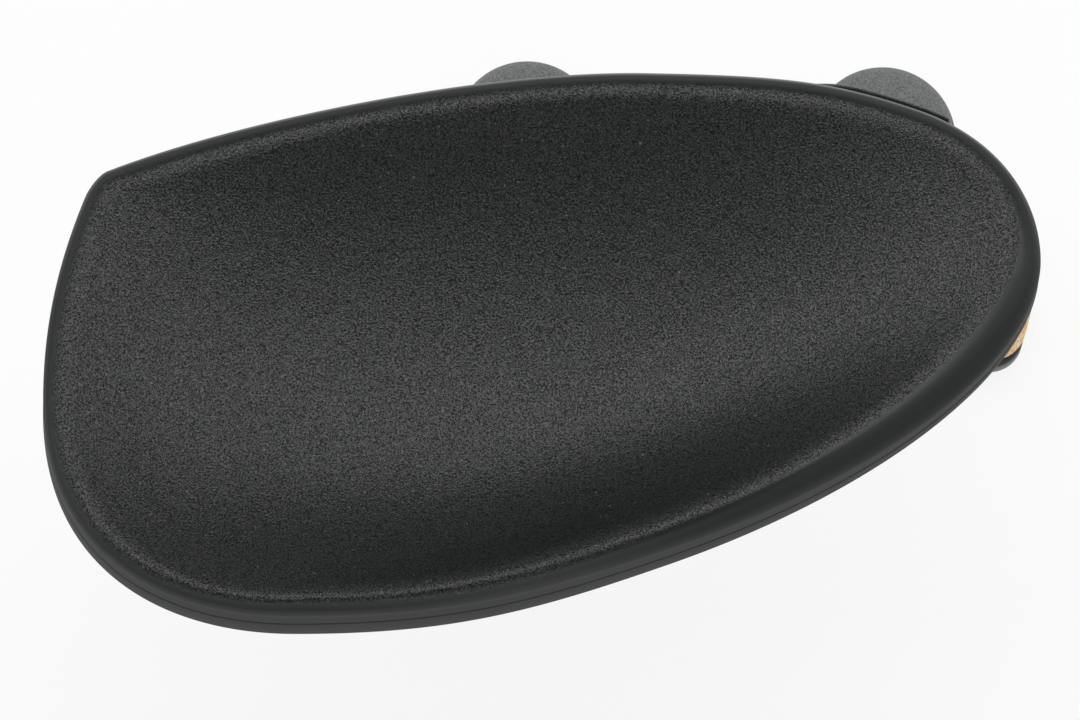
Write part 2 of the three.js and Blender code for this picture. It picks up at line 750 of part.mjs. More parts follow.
const postRecesses = ["left", "right"]
  .map((side) => bar(posts[side].x, posts[side].y, postRadius + gap, bracketBottom, domeTop + gap))
  .reduce((joined, recess) => joined.add(recess));
addPiece("under_shell", shellBody().subtract(smallScrewHoles).subtract(postRecesses), materials.cup);
addPiece("clamp_bracket", bracketBody(), materials.bracket);

bracketScrews.forEach((screw, index) => {
  addPiece(`bracket_screw_${index + 1}`, smallScrew(screw), materials.steel);
});
shellScrews.forEach((screw, index) => {
  addPiece(`shell_screw_${index + 1}`, smallScrew(screw), materials.steel);
});

// The clamps
for (const side of ["left", "right"]) {
  const { x, y } = posts[side];
  const washerBottom = underHead;
  const holeRadius = screwRadius + gap;
  addPiece(`thread_insert_${side}`, ring(x, y, holeRadius, insertRadius, insertBottom, insertTop), materials.brass);
  addPiece(`foot_ball_stud_${side}`, ballStudBody(side), materials.steel);
  addPiece(`upper_foot_${side}`, footBody(side), materials.jaw);
  addPiece(`foot_cork_${side}`, raised(footShape(side), footCorkBottom, footCorkBottom + corkThickness), materials.cork);
  addPiece(`lower_jaw_${side}`, jawBody(side), materials.jaw);
  const corkShape = jawShape(side, jawDepth - corkSetBack, postRadius + gap, corkBackCorner);
  addPiece(`jaw_cork_${side}`, raised(corkShape, jawThickness + glueLine, jawCorkTop), materials.cork);
  addPiece(`clamp_screw_${side}`, clampScrewBody(posts[side]), materials.steel);
  addPiece(
    `screw_washer_${side}`,
    ring(x, y, holeRadius, washerRadius, washerBottom, washerBottom + washerThickness, smallSegments),
    materials.steel,
  );
  addPiece(
    `screw_retainer_${side}`,
    ring(x, y, holeRadius, retainerRadius, retainerBottom, retainerBottom + retainerThickness, smallSegments),
    materials.steel,
  );
}

// The origin is the middle of the whole part, at the height of the table it stands on.
const bounds = new THREE.Box3().setFromObject(part);
const middle = bounds.getCenter(new THREE.Vector3());
part.position.set(-middle.x, -middle.y, -bounds.min.z);

export default part;
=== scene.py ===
"""A side-mounted violin chinrest in moulded black plastic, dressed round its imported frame.

Sizes are in millimetres in the cup's own coordinates: +X to the narrow end, +Y to the player, +Z up, with X and Y
counted from the middle of the cup's outline. They turn to the frame's metres when a piece is made.
"""

import logging
import math
from collections.abc import Iterable
from dataclasses import dataclass, field
from enum import Enum

import bpy
import numpy as np
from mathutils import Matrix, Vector


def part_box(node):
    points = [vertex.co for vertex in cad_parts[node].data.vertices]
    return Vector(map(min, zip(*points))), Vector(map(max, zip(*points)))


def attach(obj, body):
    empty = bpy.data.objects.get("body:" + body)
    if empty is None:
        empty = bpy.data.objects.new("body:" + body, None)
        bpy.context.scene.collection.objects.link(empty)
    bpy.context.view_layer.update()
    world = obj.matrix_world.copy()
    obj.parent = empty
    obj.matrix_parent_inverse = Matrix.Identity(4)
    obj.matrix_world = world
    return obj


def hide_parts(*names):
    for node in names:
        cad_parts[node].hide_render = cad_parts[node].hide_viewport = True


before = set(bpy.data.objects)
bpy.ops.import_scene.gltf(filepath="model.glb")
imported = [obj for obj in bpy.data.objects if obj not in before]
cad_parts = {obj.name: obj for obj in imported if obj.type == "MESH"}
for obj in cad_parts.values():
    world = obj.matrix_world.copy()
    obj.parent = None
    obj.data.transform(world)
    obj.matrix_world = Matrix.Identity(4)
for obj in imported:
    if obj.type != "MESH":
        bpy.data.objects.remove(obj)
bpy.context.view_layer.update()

log = logging.getLogger("chinrest")

Array = np.ndarray
METRES = 0.001
LEFT_POST = (-1.5, 28.4)
RIGHT_POST = (39.5, 27.7)


def frame_shift() -> Array:
    """The step from the cup's coordinates to the frame's, in millimetres, found from the left post's insert."""
    low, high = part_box("thread_insert_left")
    middle = [(a + b) / 2 / METRES for a, b in zip(low, high)]
    return np.array([middle[0] - LEFT_POST[0], middle[1] - LEFT_POST[1], 0.0])


SHIFT = frame_shift()


def cup_box(node: str) -> tuple[Array, Array]:
    """A CAD node's lowest and highest corners in the cup's coordinates.

    Args:
        node: the CAD node's name.

    Returns:
        The two corners, in millimetres.
    """
    low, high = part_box(node)
    return np.array(low) / METRES - SHIFT, np.array(high) / METRES - SHIFT


# ---- Surfaces


@dataclass
class Surface:
    """A closed surface in the cup's millimetres: its vertices and its faces."""

    points: Array
    faces: list[list[int]]

    def outward(self) -> "Surface":
        """Turns every face over if the surface encloses a negative volume."""
        volume = 0.0
        for corners in (3, 4):
            rows = np.array([f for f in self.faces if len(f) == corners])
            if len(rows):
                p = self.points[rows]
                for k in range(1, corners - 1):
                    volume += np.einsum("ij,ij->", p[:, 0], np.cross(p[:, k], p[:, k + 1]))
        if volume < 0:
            self.faces = [face[::-1] for face in self.faces]
        return self


def ring_stack(rings: Array, top: Array, bottom: Array) -> Surface:
    """A closed surface through rings of points, with a fan to a pole at each end.

    Args:
        rings: levels by points by three.
        top: the pole before the first ring.
        bottom: the pole after the last ring.

    Returns:
        The surface, with its vertices in the order pole, rings, pole.
    """
    levels, around = rings.shape[:2]
    index = np.arange(levels * around).reshape(levels, around) + 1
    ahead = np.roll(index, -1, axis=1)
    quads = np.stack([index[:-1], index[1:], ahead[1:], ahead[:-1]], axis=-1).reshape(-1, 4)
    last = levels * around + 1
    first_fan = np.stack([np.zeros(around, int), index[0], ahead[0]], axis=-1)
    last_fan = np.stack([np.full(around, last), ahead[-1], index[-1]], axis=-1)
    points = np.vstack([top[None], rings.reshape(-1, 3), bottom[None]])
    return Surface(points, quads.tolist() + first_fan.tolist() + last_fan.tolist()).outward()


def closed_loop(rings: Array) -> Surface:
    """A ring-shaped surface: the last ring joins the first, so the profile closes on itself.

    Args:
        rings: levels by points by three.

    Returns:
        The surface.
    """
    levels, around = rings.shape[:2]
    index = np.arange(levels * around).reshape(levels, around)
    ahead = np.roll(index, -1, axis=1)
    below, below_ahead = np.roll(index, -1, axis=0), np.roll(ahead, -1, axis=0)
    quads = np.stack([index, below, below_ahead, ahead], axis=-1).reshape(-1, 4)
    return Surface(rings.reshape(-1, 3), quads.tolist()).outward()


def directions(around: int) -> Array:
    """The angles of a ring's points, at even steps from +X."""
    return np.arange(around) * 2 * np.pi / around


def towards(degrees: float) -> Array:
    """The flat unit step at an angle from +X."""
    return np.array([math.cos(math.radians(degrees)), math.sin(math.radians(degrees))])


def smooth_step(share: Array) -> Array:
    """A share held between 0 and 1 and eased at both: its square times three less twice itself."""
    share = np.clip(share, 0, 1)
    return share * share * (3 - 2 * share)


def turned_rings(x: float, y: float, radii: Array, heights: Array, around: int) -> Array:
    """Rings about an upright axis. Each point is the axis plus its radius in its own direction.

    Args:
        x, y: the axis.
        radii: one radius for each level, or levels by points.
        heights: the same for heights.
        around: points in each ring.

    Returns:
        Levels by points by three.
    """
    turn = directions(around)
    radius = np.broadcast_to(np.atleast_2d(radii).T if np.ndim(radii) == 1 else radii, (len(radii), around))
    height = np.broadcast_to(np.atleast_2d(heights).T if np.ndim(heights) == 1 else heights, (len(heights), around))
    return np.stack([x + radius * np.cos(turn), y + radius * np.sin(turn), height], axis=-1)


def arc(middle: tuple[float, float], radius: float, start: float, end: float, steps: int = 6) -> Array:
    """Points of a profile's arc, as rows of radius and height.

    Args:
        middle: the arc's centre.
        radius: the arc's radius.
        start, end: the angles in degrees, from straight out and towards up.
        steps: the number of spans.

    Returns:
        Steps plus one rows.
    """
    turn = np.radians(np.linspace(start, end, steps + 1))
    return np.stack([middle[0] + radius * np.cos(turn), middle[1] + radius * np.sin(turn)], axis=-1)


def bar_profile(radius: float, low: float, high: float, low_edge: float, high_edge: float) -> Array:
    """A round bar's profile with both edges rounded, from near the axis below to near it above."""
    return np.vstack([
        [[radius * 0.5, low]],
        arc((radius - low_edge, low + low_edge), low_edge, -90, 0),
        arc((radius - high_edge, high - high_edge), high_edge, 0, 90),
        [[radius * 0.5, high]],
    ])


def turned(x: float, y: float, profile: Array, around: int = 96) -> Surface:
    """A solid of revolution from a profile of radius and height rows that starts and ends near the axis."""
    rings = turned_rings(x, y, profile[:, 0], profile[:, 1], around)
    return ring_stack(rings, np.array([x, y, profile[0, 1]]), np.array([x, y, profile[-1, 1]]))


def hexagon(across: float, around: int) -> Array:
    """The radius of a hexagon, by its size across the flats, in each of the directions of a ring."""
    turn = directions(around)
    return across / 2 / np.cos((turn + np.pi / 6) % (np.pi / 3) - np.pi / 6)


def rounded_outline(corners: list[tuple[float, float, float]], spacing: float = 0.45) -> Array:
    """A flat outline of straight sides and round corners, counterclockwise.

    Each corner is an arc that touches both of its sides, so its centre lies on their bisector.

    Args:
        corners: rows of X, Y and radius, counterclockwise.
        spacing: the longest step along an arc.

    Returns:
        The outline's points.
    """
    places = np.array([[x, y] for x, y, _ in corners])
    points = []
    for index, (_, _, radius) in enumerate(corners):
        here, before, after = places[index], places[index - 1], places[(index + 1) % len(corners)]
        back = (before - here) / np.linalg.norm(before - here)
        on = (after - here) / np.linalg.norm(after - here)
        half = math.acos(float(np.clip(back @ on, -1, 1))) / 2
        reach = radius / math.tan(half)
        bisector = (back + on) / np.linalg.norm(back + on)
        middle = here + bisector * radius / math.sin(half)
        start, end = here + back * reach - middle, here + on * reach - middle
        a, b = math.atan2(start[1], start[0]), math.atan2(end[1], end[0])
        sweep = (b - a + math.pi) % (2 * math.pi) - math.pi
        steps = max(3, int(abs(sweep) * radius / spacing))
        turn = a + sweep * np.arange(steps + 1) / steps
        points.append(middle + radius * np.stack([np.cos(turn), np.sin(turn)], axis=-1))
    return np.vstack(points)


def inset_outline(outline: Array, inset: float) -> Array:
    """An outline moved in by a width, along the bisector of the sides at each point."""
    before, after = np.roll(outline, 1, axis=0), np.roll(outline, -1, axis=0)
    one, two = outline - before, after - outline
    one /= np.linalg.norm(one, axis=1, keepdims=True)
    two /= np.linalg.norm(two, axis=1, keepdims=True)
    along = one + two
    along /= np.linalg.norm(along, axis=1, keepdims=True)
    inward = np.stack([-along[:, 1], along[:, 0]], axis=-1)
    return outline + inward * (inset / np.clip(np.sum(along * one, axis=1), 0.5, 1))[:, None]


def slab(outline: Array, rows: Array) -> Surface:
    """A flat piece with shaped edges: each row's inset and height make one ring of its outline.

    Args:
        outline: the counterclockwise outline.
        rows: rows of inset and height, from the underside round to the top.

    Returns:
        The closed surface.
    """
    rings = np.stack([np.column_stack([inset_outline(outline, inset), np.full(len(outline), height)])
                      for inset, height in rows])
    middle = outline.mean(axis=0)
    return ring_stack(rings, np.array([*middle, rows[0][1]]), np.array([*middle, rows[-1][1]]))


def rounded_edges(low: float, high: float, low_edge: float, high_edge: float, steps: int = 5) -> Array:
    """Rows of inset and height for a slab whose lower and upper edges are quarter circles."""
    under = arc((low_edge, low + low_edge), low_edge, 270, 180, steps)
    over = arc((high_edge, high - high_edge), high_edge, 180, 90, steps)
    return np.vstack([[[low_edge + 0.4, low]], under, over, [[high_edge + 0.4, high]]])


class Join(Enum):
    """How two closed bodies are put together."""

    ADD = "UNION"
    CUT = "DIFFERENCE"
    KEEP = "INTERSECT"


def mesh_of(name: str, surface: Surface) -> bpy.types.Mesh:
    """A surface as a mesh in the frame's metres."""
    mesh = bpy.data.meshes.new(name)
    mesh.from_pydata(((surface.points + SHIFT) * METRES).tolist(), [], surface.faces)
    mesh.validate()
    return mesh


def as_mesh(body: Surface | bpy.types.Mesh) -> bpy.types.Mesh:
    """A body as a mesh, whichever it is."""
    return mesh_of("body", body) if isinstance(body, Surface) else body


def placed(name: str, data: bpy.types.ID) -> bpy.types.Object:
    """A new object in the scene, at the origin, unturned and unscaled."""
    item = bpy.data.objects.new(name, data)
    bpy.context.scene.collection.objects.link(item)
    return item


def combined(
    name: str, first: Surface | bpy.types.Mesh, steps: list[tuple[Join, Surface | bpy.types.Mesh]]
) -> bpy.types.Mesh:
    """Joins and cuts closed bodies in turn.

    Args:
        name: the new mesh's name.
        first: the body that the others are added to or cut from.
        steps: what to do, and with which body.

    Returns:
        The finished mesh.
    """
    mesh = as_mesh(first)
    for how, tool in steps:
        work = placed("work", mesh)
        other = placed("tool", as_mesh(tool))
        boolean = work.modifiers.new("join", "BOOLEAN")
        boolean.operation, boolean.solver, boolean.object = how.value, "MANIFOLD", other
        depsgraph = bpy.context.evaluated_depsgraph_get()
        made = bpy.data.meshes.new_from_object(work.evaluated_get(depsgraph), depsgraph=depsgraph)
        for item in (work, other):
            old = item.data
            bpy.data.objects.remove(item)
            bpy.data.meshes.remove(old)
        mesh = made
    mesh.name = name
    return mesh


def add_piece(
    name: str,
    mesh: bpy.types.Mesh,
    material: bpy.types.Material,
    body: str,
    node: str,
    sharp: float = 38.0,
) -> None:
    """Puts a finished mesh in the scene in place of its CAD node.

    Args:
        name: the piece's name.
        mesh: its mesh, in the frame's metres.
        material: its finish.
        body: the CAD body that it rides on.
        node: the CAD node that it stands for.
        sharp: edges between faces that turn more than this, in degrees, stay crisp.
    """
    mesh.materials.clear()
    mesh.materials.append(material)
    mesh.shade_smooth()
    mesh.set_sharp_from_angle(angle=math.radians(sharp))
    mesh.name = name
    piece = placed(name, mesh)
    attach(piece, body)
    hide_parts(node)
    log.info("%s: %d faces, for %s", name, len(mesh.polygons), node)


# ---- Finishes


def linear(colour: str) -> tuple[float, float, float, float]:
    """An sRGB hex colour as linear light, with alpha 1."""
    parts = [int(colour[i:i + 2], 16) / 255 for i in (1, 3, 5)]
    return tuple(p / 12.92 if p <= 0.04045 else ((p + 0.055) / 1.055) ** 2.4 for p in parts) + (1.0,)


def per_feature(size: float) -> float:
    """The scale that makes a procedural pattern's features about this many millimetres wide."""
    return 1 / (size * METRES)


Socket = bpy.types.NodeSocket


def add_node(tree: bpy.types.NodeTree, kind: str, settings: dict | None = None, **inputs: object) -> bpy.types.Node:
    """Adds a node, sets its properties and fills or links its inputs.

    Args:
        tree: the node tree.
        kind: the node's type name without its ShaderNode beginning.
        settings: the node's own properties. A colour ramp's stops are positions and sRGB hex colours, in order.
        inputs: input names in lower case with underscores, each with a value or another node's output. A name that
            ends in _1 or _2 is the second or third input of that name.

    Returns:
        The node.
    """
    node = tree.nodes.new("ShaderNode" + kind)
    for key, value in (settings or {}).items():
        if key != "stops":
            setattr(node, key, value)
            continue
        elements = node.color_ramp.elements
        while len(elements) < len(value):
            elements.new(1.0)
        for element, (position, colour) in zip(elements, value):
            element.position, element.color = position, linear(colour)
    for key, value in inputs.items():
        words, _, turn = key.rpartition("_")
        label, skip = (words, int(turn)) if turn.isdigit() else (key, 0)
        named = [s for s in node.inputs if s.enabled and s.name.lower().replace(" ", "_") == label]
        target = named[skip]
        if isinstance(value, Socket):
            tree.links.new(value, target)
        else:
            target.default_value = value
    return node


def new_material(name: str) -> tuple[bpy.types.Material, bpy.types.NodeTree, bpy.types.Node, Socket]:
    """A material with a Principled shader and object coordinates to work from.

    Args:
        name: the finish's name.

    Returns:
        The material, its node tree, its shader node and the object coordinates.
    """
    material = bpy.data.materials.new(name)
    material.use_nodes = True
    tree = material.node_tree
    shader = tree.nodes["Principled BSDF"]
    place = add_node(tree, "TexCoord").outputs["Object"]
    return material, tree, shader, place


def wire(tree: bpy.types.NodeTree, shader: bpy.types.Node, **outputs: Socket) -> None:
    """Links outputs to the shader's inputs, named in lower case with underscores."""
    for key, output in outputs.items():
        target = next(s for s in shader.inputs if s.name.lower().replace(" ", "_") == key)
        tree.links.new(output, target)


@dataclass(frozen=True)
class GrainedMoulding:
    """Moulded glass-filled nylon: a spark-eroded grain in the bowl, and a satin rim that the tool left smooth."""

    name: str = "moulded_nylon_grained"
    smooth_colour: str = "#161819"
    grain_low: str = "#0c0e0e"
    grain_high: str = "#222423"
    fleck_colour: str = "#5c5e58"
    grain_size: float = 0.21  # the eroded grain, drawn a little coarse so that it shows
    fleck_size: float = 0.22  # a rare paler grain
    grain_depth: float = 0.09
    rim_roughness: float = 0.34
    wall_roughness: float = 0.72
    bowl_roughness: float = 0.26
    unevenness: float = 0.03  # how far the roughness wanders
    cloud_size: float = 9.0
    fleck_from: float = 0.996  # the share of grains that aren't flecks
    fleck_strength: float = 0.7
    rim_bump: float = 0.05
    glint_low: float = 0.12
    glint_high: float = 0.95
    rim_specular: float = 0.5
    ior: float = 1.4

    def make(self) -> bpy.types.Material:
        """The finish, which reads the attributes grain, 1 in the bowl, and matte, up to 1 on the outer wall."""
        material, tree, shader, place = new_material(self.name)
        mask = add_node(tree, "Attribute", {"attribute_name": "grain"}).outputs["Fac"]
        matte = add_node(tree, "Attribute", {"attribute_name": "matte"}).outputs["Fac"]
        grain = add_node(tree, "TexNoise", vector=place, scale=per_feature(self.grain_size), detail=2.5,
                         roughness=0.62).outputs["Fac"]
        cloud = add_node(tree, "TexNoise", vector=place, scale=per_feature(self.cloud_size), detail=3.0).outputs["Fac"]
        flecks = add_node(tree, "TexVoronoi", {"feature": "F1"}, vector=place,
                          scale=per_feature(self.fleck_size)).outputs["Color"]
        chance = add_node(tree, "SeparateColor", color=flecks).outputs["Red"]
        bowl = add_node(tree, "ValToRGB", {"stops": [(0.34, self.grain_low), (0.68, self.grain_high)]},
                        fac=grain).outputs["Color"]
        is_fleck = add_node(tree, "MapRange", value=chance, from_min=self.fleck_from, from_max=1.0,
                           to_max=self.fleck_strength)
        bowl = add_node(tree, "Mix", {"data_type": "RGBA"}, factor=is_fleck.outputs["Result"], a=bowl,
                        b=linear(self.fleck_colour)).outputs["Result"]
        colour = add_node(tree, "Mix", {"data_type": "RGBA"}, factor=mask, a=linear(self.smooth_colour), b=bowl)
        uneven = add_node(tree, "MapRange", value=cloud, to_min=-self.unevenness,
                          to_max=self.unevenness).outputs["Result"]
        smooth = add_node(tree, "MapRange", value=matte, to_min=self.rim_roughness, to_max=self.wall_roughness)
        rough = add_node(tree, "Mix", factor=mask, a=smooth.outputs["Result"], b=self.bowl_roughness)
        total = add_node(tree, "Math", {"operation": "ADD"}, value=rough.outputs["Result"], value_1=uneven)
        strength = add_node(tree, "MapRange", value=mask, to_min=self.rim_bump, to_max=1.0).outputs["Result"]
        bump = add_node(tree, "Bump", distance=self.grain_depth * METRES, strength=strength, height=grain)
        glint = add_node(tree, "MapRange", value=grain, from_min=0.36, from_max=0.66, to_min=self.glint_low,
                         to_max=self.glint_high)
        level = add_node(tree, "Mix", factor=mask, a=self.rim_specular, b=glint.outputs["Result"])
        wire(tree, shader, base_color=colour.outputs["Result"], roughness=total.outputs["Value"],
             normal=bump.outputs["Normal"], specular_ior_level=level.outputs["Result"])
        shader.inputs["IOR"].default_value = self.ior
        return material


@dataclass(frozen=True)
class PlainMoulding:
    """Moulded nylon with one even surface: how dark, how rough and how grained it is sets the piece."""

    name: str
    low_colour: str
    high_colour: str
    grain_size: float
    grain_depth: float
    roughness: float
    unevenness: float = 0.04
    cloud_size: float = 6.0
    ior: float = 1.4

    def make(self) -> bpy.types.Material:
        """The finish."""
        material, tree, shader, place = new_material(self.name)
        grain = add_node(tree, "TexNoise", vector=place, scale=per_feature(self.grain_size), detail=3.0,
                         roughness=0.6).outputs["Fac"]
        colour = add_node(tree, "ValToRGB", {"stops": [(0.32, self.low_colour), (0.7, self.high_colour)]}, fac=grain)
        cloud = add_node(tree, "TexNoise", vector=place, scale=per_feature(self.cloud_size),
                         detail=2.0).outputs["Fac"]
        rough = add_node(tree, "MapRange", value=cloud, to_min=self.roughness - self.unevenness,
                         to_max=self.roughness + self.unevenness)
        bump = add_node(tree, "Bump", distance=self.grain_depth * METRES, strength=1.0, height=grain)
        wire(tree, shader, base_color=colour.outputs["Color"], roughness=rough.outputs["Result"],
             normal=bump.outputs["Normal"])
        shader.inputs["IOR"].default_value = self.ior
        return material


@dataclass(frozen=True)
class SheetCork:
    """Agglomerated sheet cork: pressed granules about a millimetre wide, with dark bark flecks and open pits."""

    name: str = "sheet_cork"
    granule_size: float = 0.8
    pit_size: float = 0.3
    pit_depth: float = 0.08
    warp_size: float = 1.6
    warp: float = 0.0006
    seam_width: float = 0.09
    seam_strength: float = 0.4
    pit_from: float = 0.66
    pit_full: float = 0.74
    roughness: float = 0.88
    seam_colour: str = "#b08254"
    pit_colour: str = "#6d4524"
    granule_colours: tuple = ((0.0, "#cfa573"), (0.12, "#dcb583"), (0.55, "#e6c699"), (0.92, "#edd2a8"),
                              (1.0, "#b98753"))

    def make(self) -> bpy.types.Material:
        """The finish."""
        material, tree, shader, place = new_material(self.name)
        warp = add_node(tree, "TexNoise", vector=place, scale=per_feature(self.warp_size),
                        detail=2.0).outputs["Color"]
        bent = add_node(tree, "Mix", {"data_type": "RGBA", "blend_type": "LINEAR_LIGHT"}, factor=self.warp, a=place,
                        b=warp).outputs["Result"]
        cells = add_node(tree, "TexVoronoi", {"feature": "F1"}, vector=bent, scale=per_feature(self.granule_size))
        tone = add_node(tree, "SeparateColor", color=cells.outputs["Color"]).outputs["Green"]
        granules = add_node(tree, "ValToRGB", {"stops": self.granule_colours}, fac=tone).outputs["Color"]
        edge = add_node(tree, "TexVoronoi", {"feature": "DISTANCE_TO_EDGE"}, vector=bent,
                        scale=per_feature(self.granule_size)).outputs["Distance"]
        seam = add_node(tree, "MapRange", value=edge, from_max=self.seam_width, to_min=self.seam_strength,
                        to_max=0.0).outputs["Result"]
        colour = add_node(tree, "Mix", {"data_type": "RGBA"}, factor=seam, a=granules, b=linear(self.seam_colour))
        pits = add_node(tree, "TexNoise", vector=place, scale=per_feature(self.pit_size), detail=3.0).outputs["Fac"]
        pit = add_node(tree, "MapRange", value=pits, from_min=self.pit_from, from_max=self.pit_full).outputs["Result"]
        final = add_node(tree, "Mix", {"data_type": "RGBA"}, factor=pit, a=colour.outputs["Result"],
                         b=linear(self.pit_colour))
        shader.inputs["Roughness"].default_value = self.roughness
        height = add_node(tree, "Math", {"operation": "ADD"}, value=seam, value_1=pit).outputs["Value"]
        bump = add_node(tree, "Bump", {"invert": True}, distance=self.pit_depth * METRES, strength=0.8, height=height)
        wire(tree, shader, base_color=final.outputs["Result"], normal=bump.outputs["Normal"])
        return material


@dataclass(frozen=True)
class TurnedMetal:
    """Machined metal: faint rings from the cutting tool and slightly uneven gloss."""

    name: str
    colour: str
    worn_colour: str
    roughness: float
    ring_depth: float = 0.004
    ring_size: float = 0.8
    ring_squeeze: float = 12.0
    smoother: float = 0.08  # how far the roughness falls and rises from its middle
    rougher: float = 0.1

    def make(self) -> bpy.types.Material:
        """The finish."""
        material, tree, shader, place = new_material(self.name)
        stretched = add_node(tree, "Mapping", vector=place, scale=(1.0, 1.0, self.ring_squeeze)).outputs["Vector"]
        streaks = add_node(tree, "TexNoise", vector=stretched, scale=per_feature(self.ring_size),
                           detail=4.0).outputs["Fac"]
        colour = add_node(tree, "ValToRGB", {"stops": [(0.3, self.worn_colour), (0.65, self.colour)]}, fac=streaks)
        shader.inputs["Metallic"].default_value = 1.0
        rough = add_node(tree, "MapRange", value=streaks, to_min=self.roughness - self.smoother,
                         to_max=self.roughness + self.rougher)
        bump = add_node(tree, "Bump", distance=self.ring_depth * METRES, strength=0.6, height=streaks)
        wire(tree, shader, base_color=colour.outputs["Color"], roughness=rough.outputs["Result"],
             normal=bump.outputs["Normal"])
        return material


@dataclass
class Finishes:
    """Every finish of the chinrest, made once."""

    cup: bpy.types.Material = field(default_factory=GrainedMoulding().make)
    shell: bpy.types.Material = field(default_factory=PlainMoulding(
        "moulded_nylon_matte", low_colour="#131516", high_colour="#1b1d1e", grain_size=0.3, grain_depth=0.02,
        roughness=0.7).make)
    # The bracket's pale grey is partly its sandblasted finish and partly painted sheen: the black nylon is made paler
    # to stand in for the light that the posts' domes catch from behind.
    bracket: bpy.types.Material = field(default_factory=PlainMoulding(
        "moulded_nylon_sandblasted", low_colour="#4a4d4d", high_colour="#7c7f7e", grain_size=0.26, grain_depth=0.08,
        roughness=0.62).make)
    jaw: bpy.types.Material = field(default_factory=PlainMoulding(
        "moulded_nylon_satin", low_colour="#1b1d1e", high_colour="#232526", grain_size=0.35, grain_depth=0.006,
        roughness=0.4).make)
    cork: bpy.types.Material = field(default_factory=SheetCork().make)
    steel: bpy.types.Material = field(default_factory=TurnedMetal(
        "stainless_steel_turned", colour="#c3c5c7", worn_colour="#9c9fa2", roughness=0.3).make)
    brass: bpy.types.Material = field(default_factory=TurnedMetal(
        "brass_turned", colour="#c9a45a", worn_colour="#a27f3a", roughness=0.34).make)


# ---- The cup


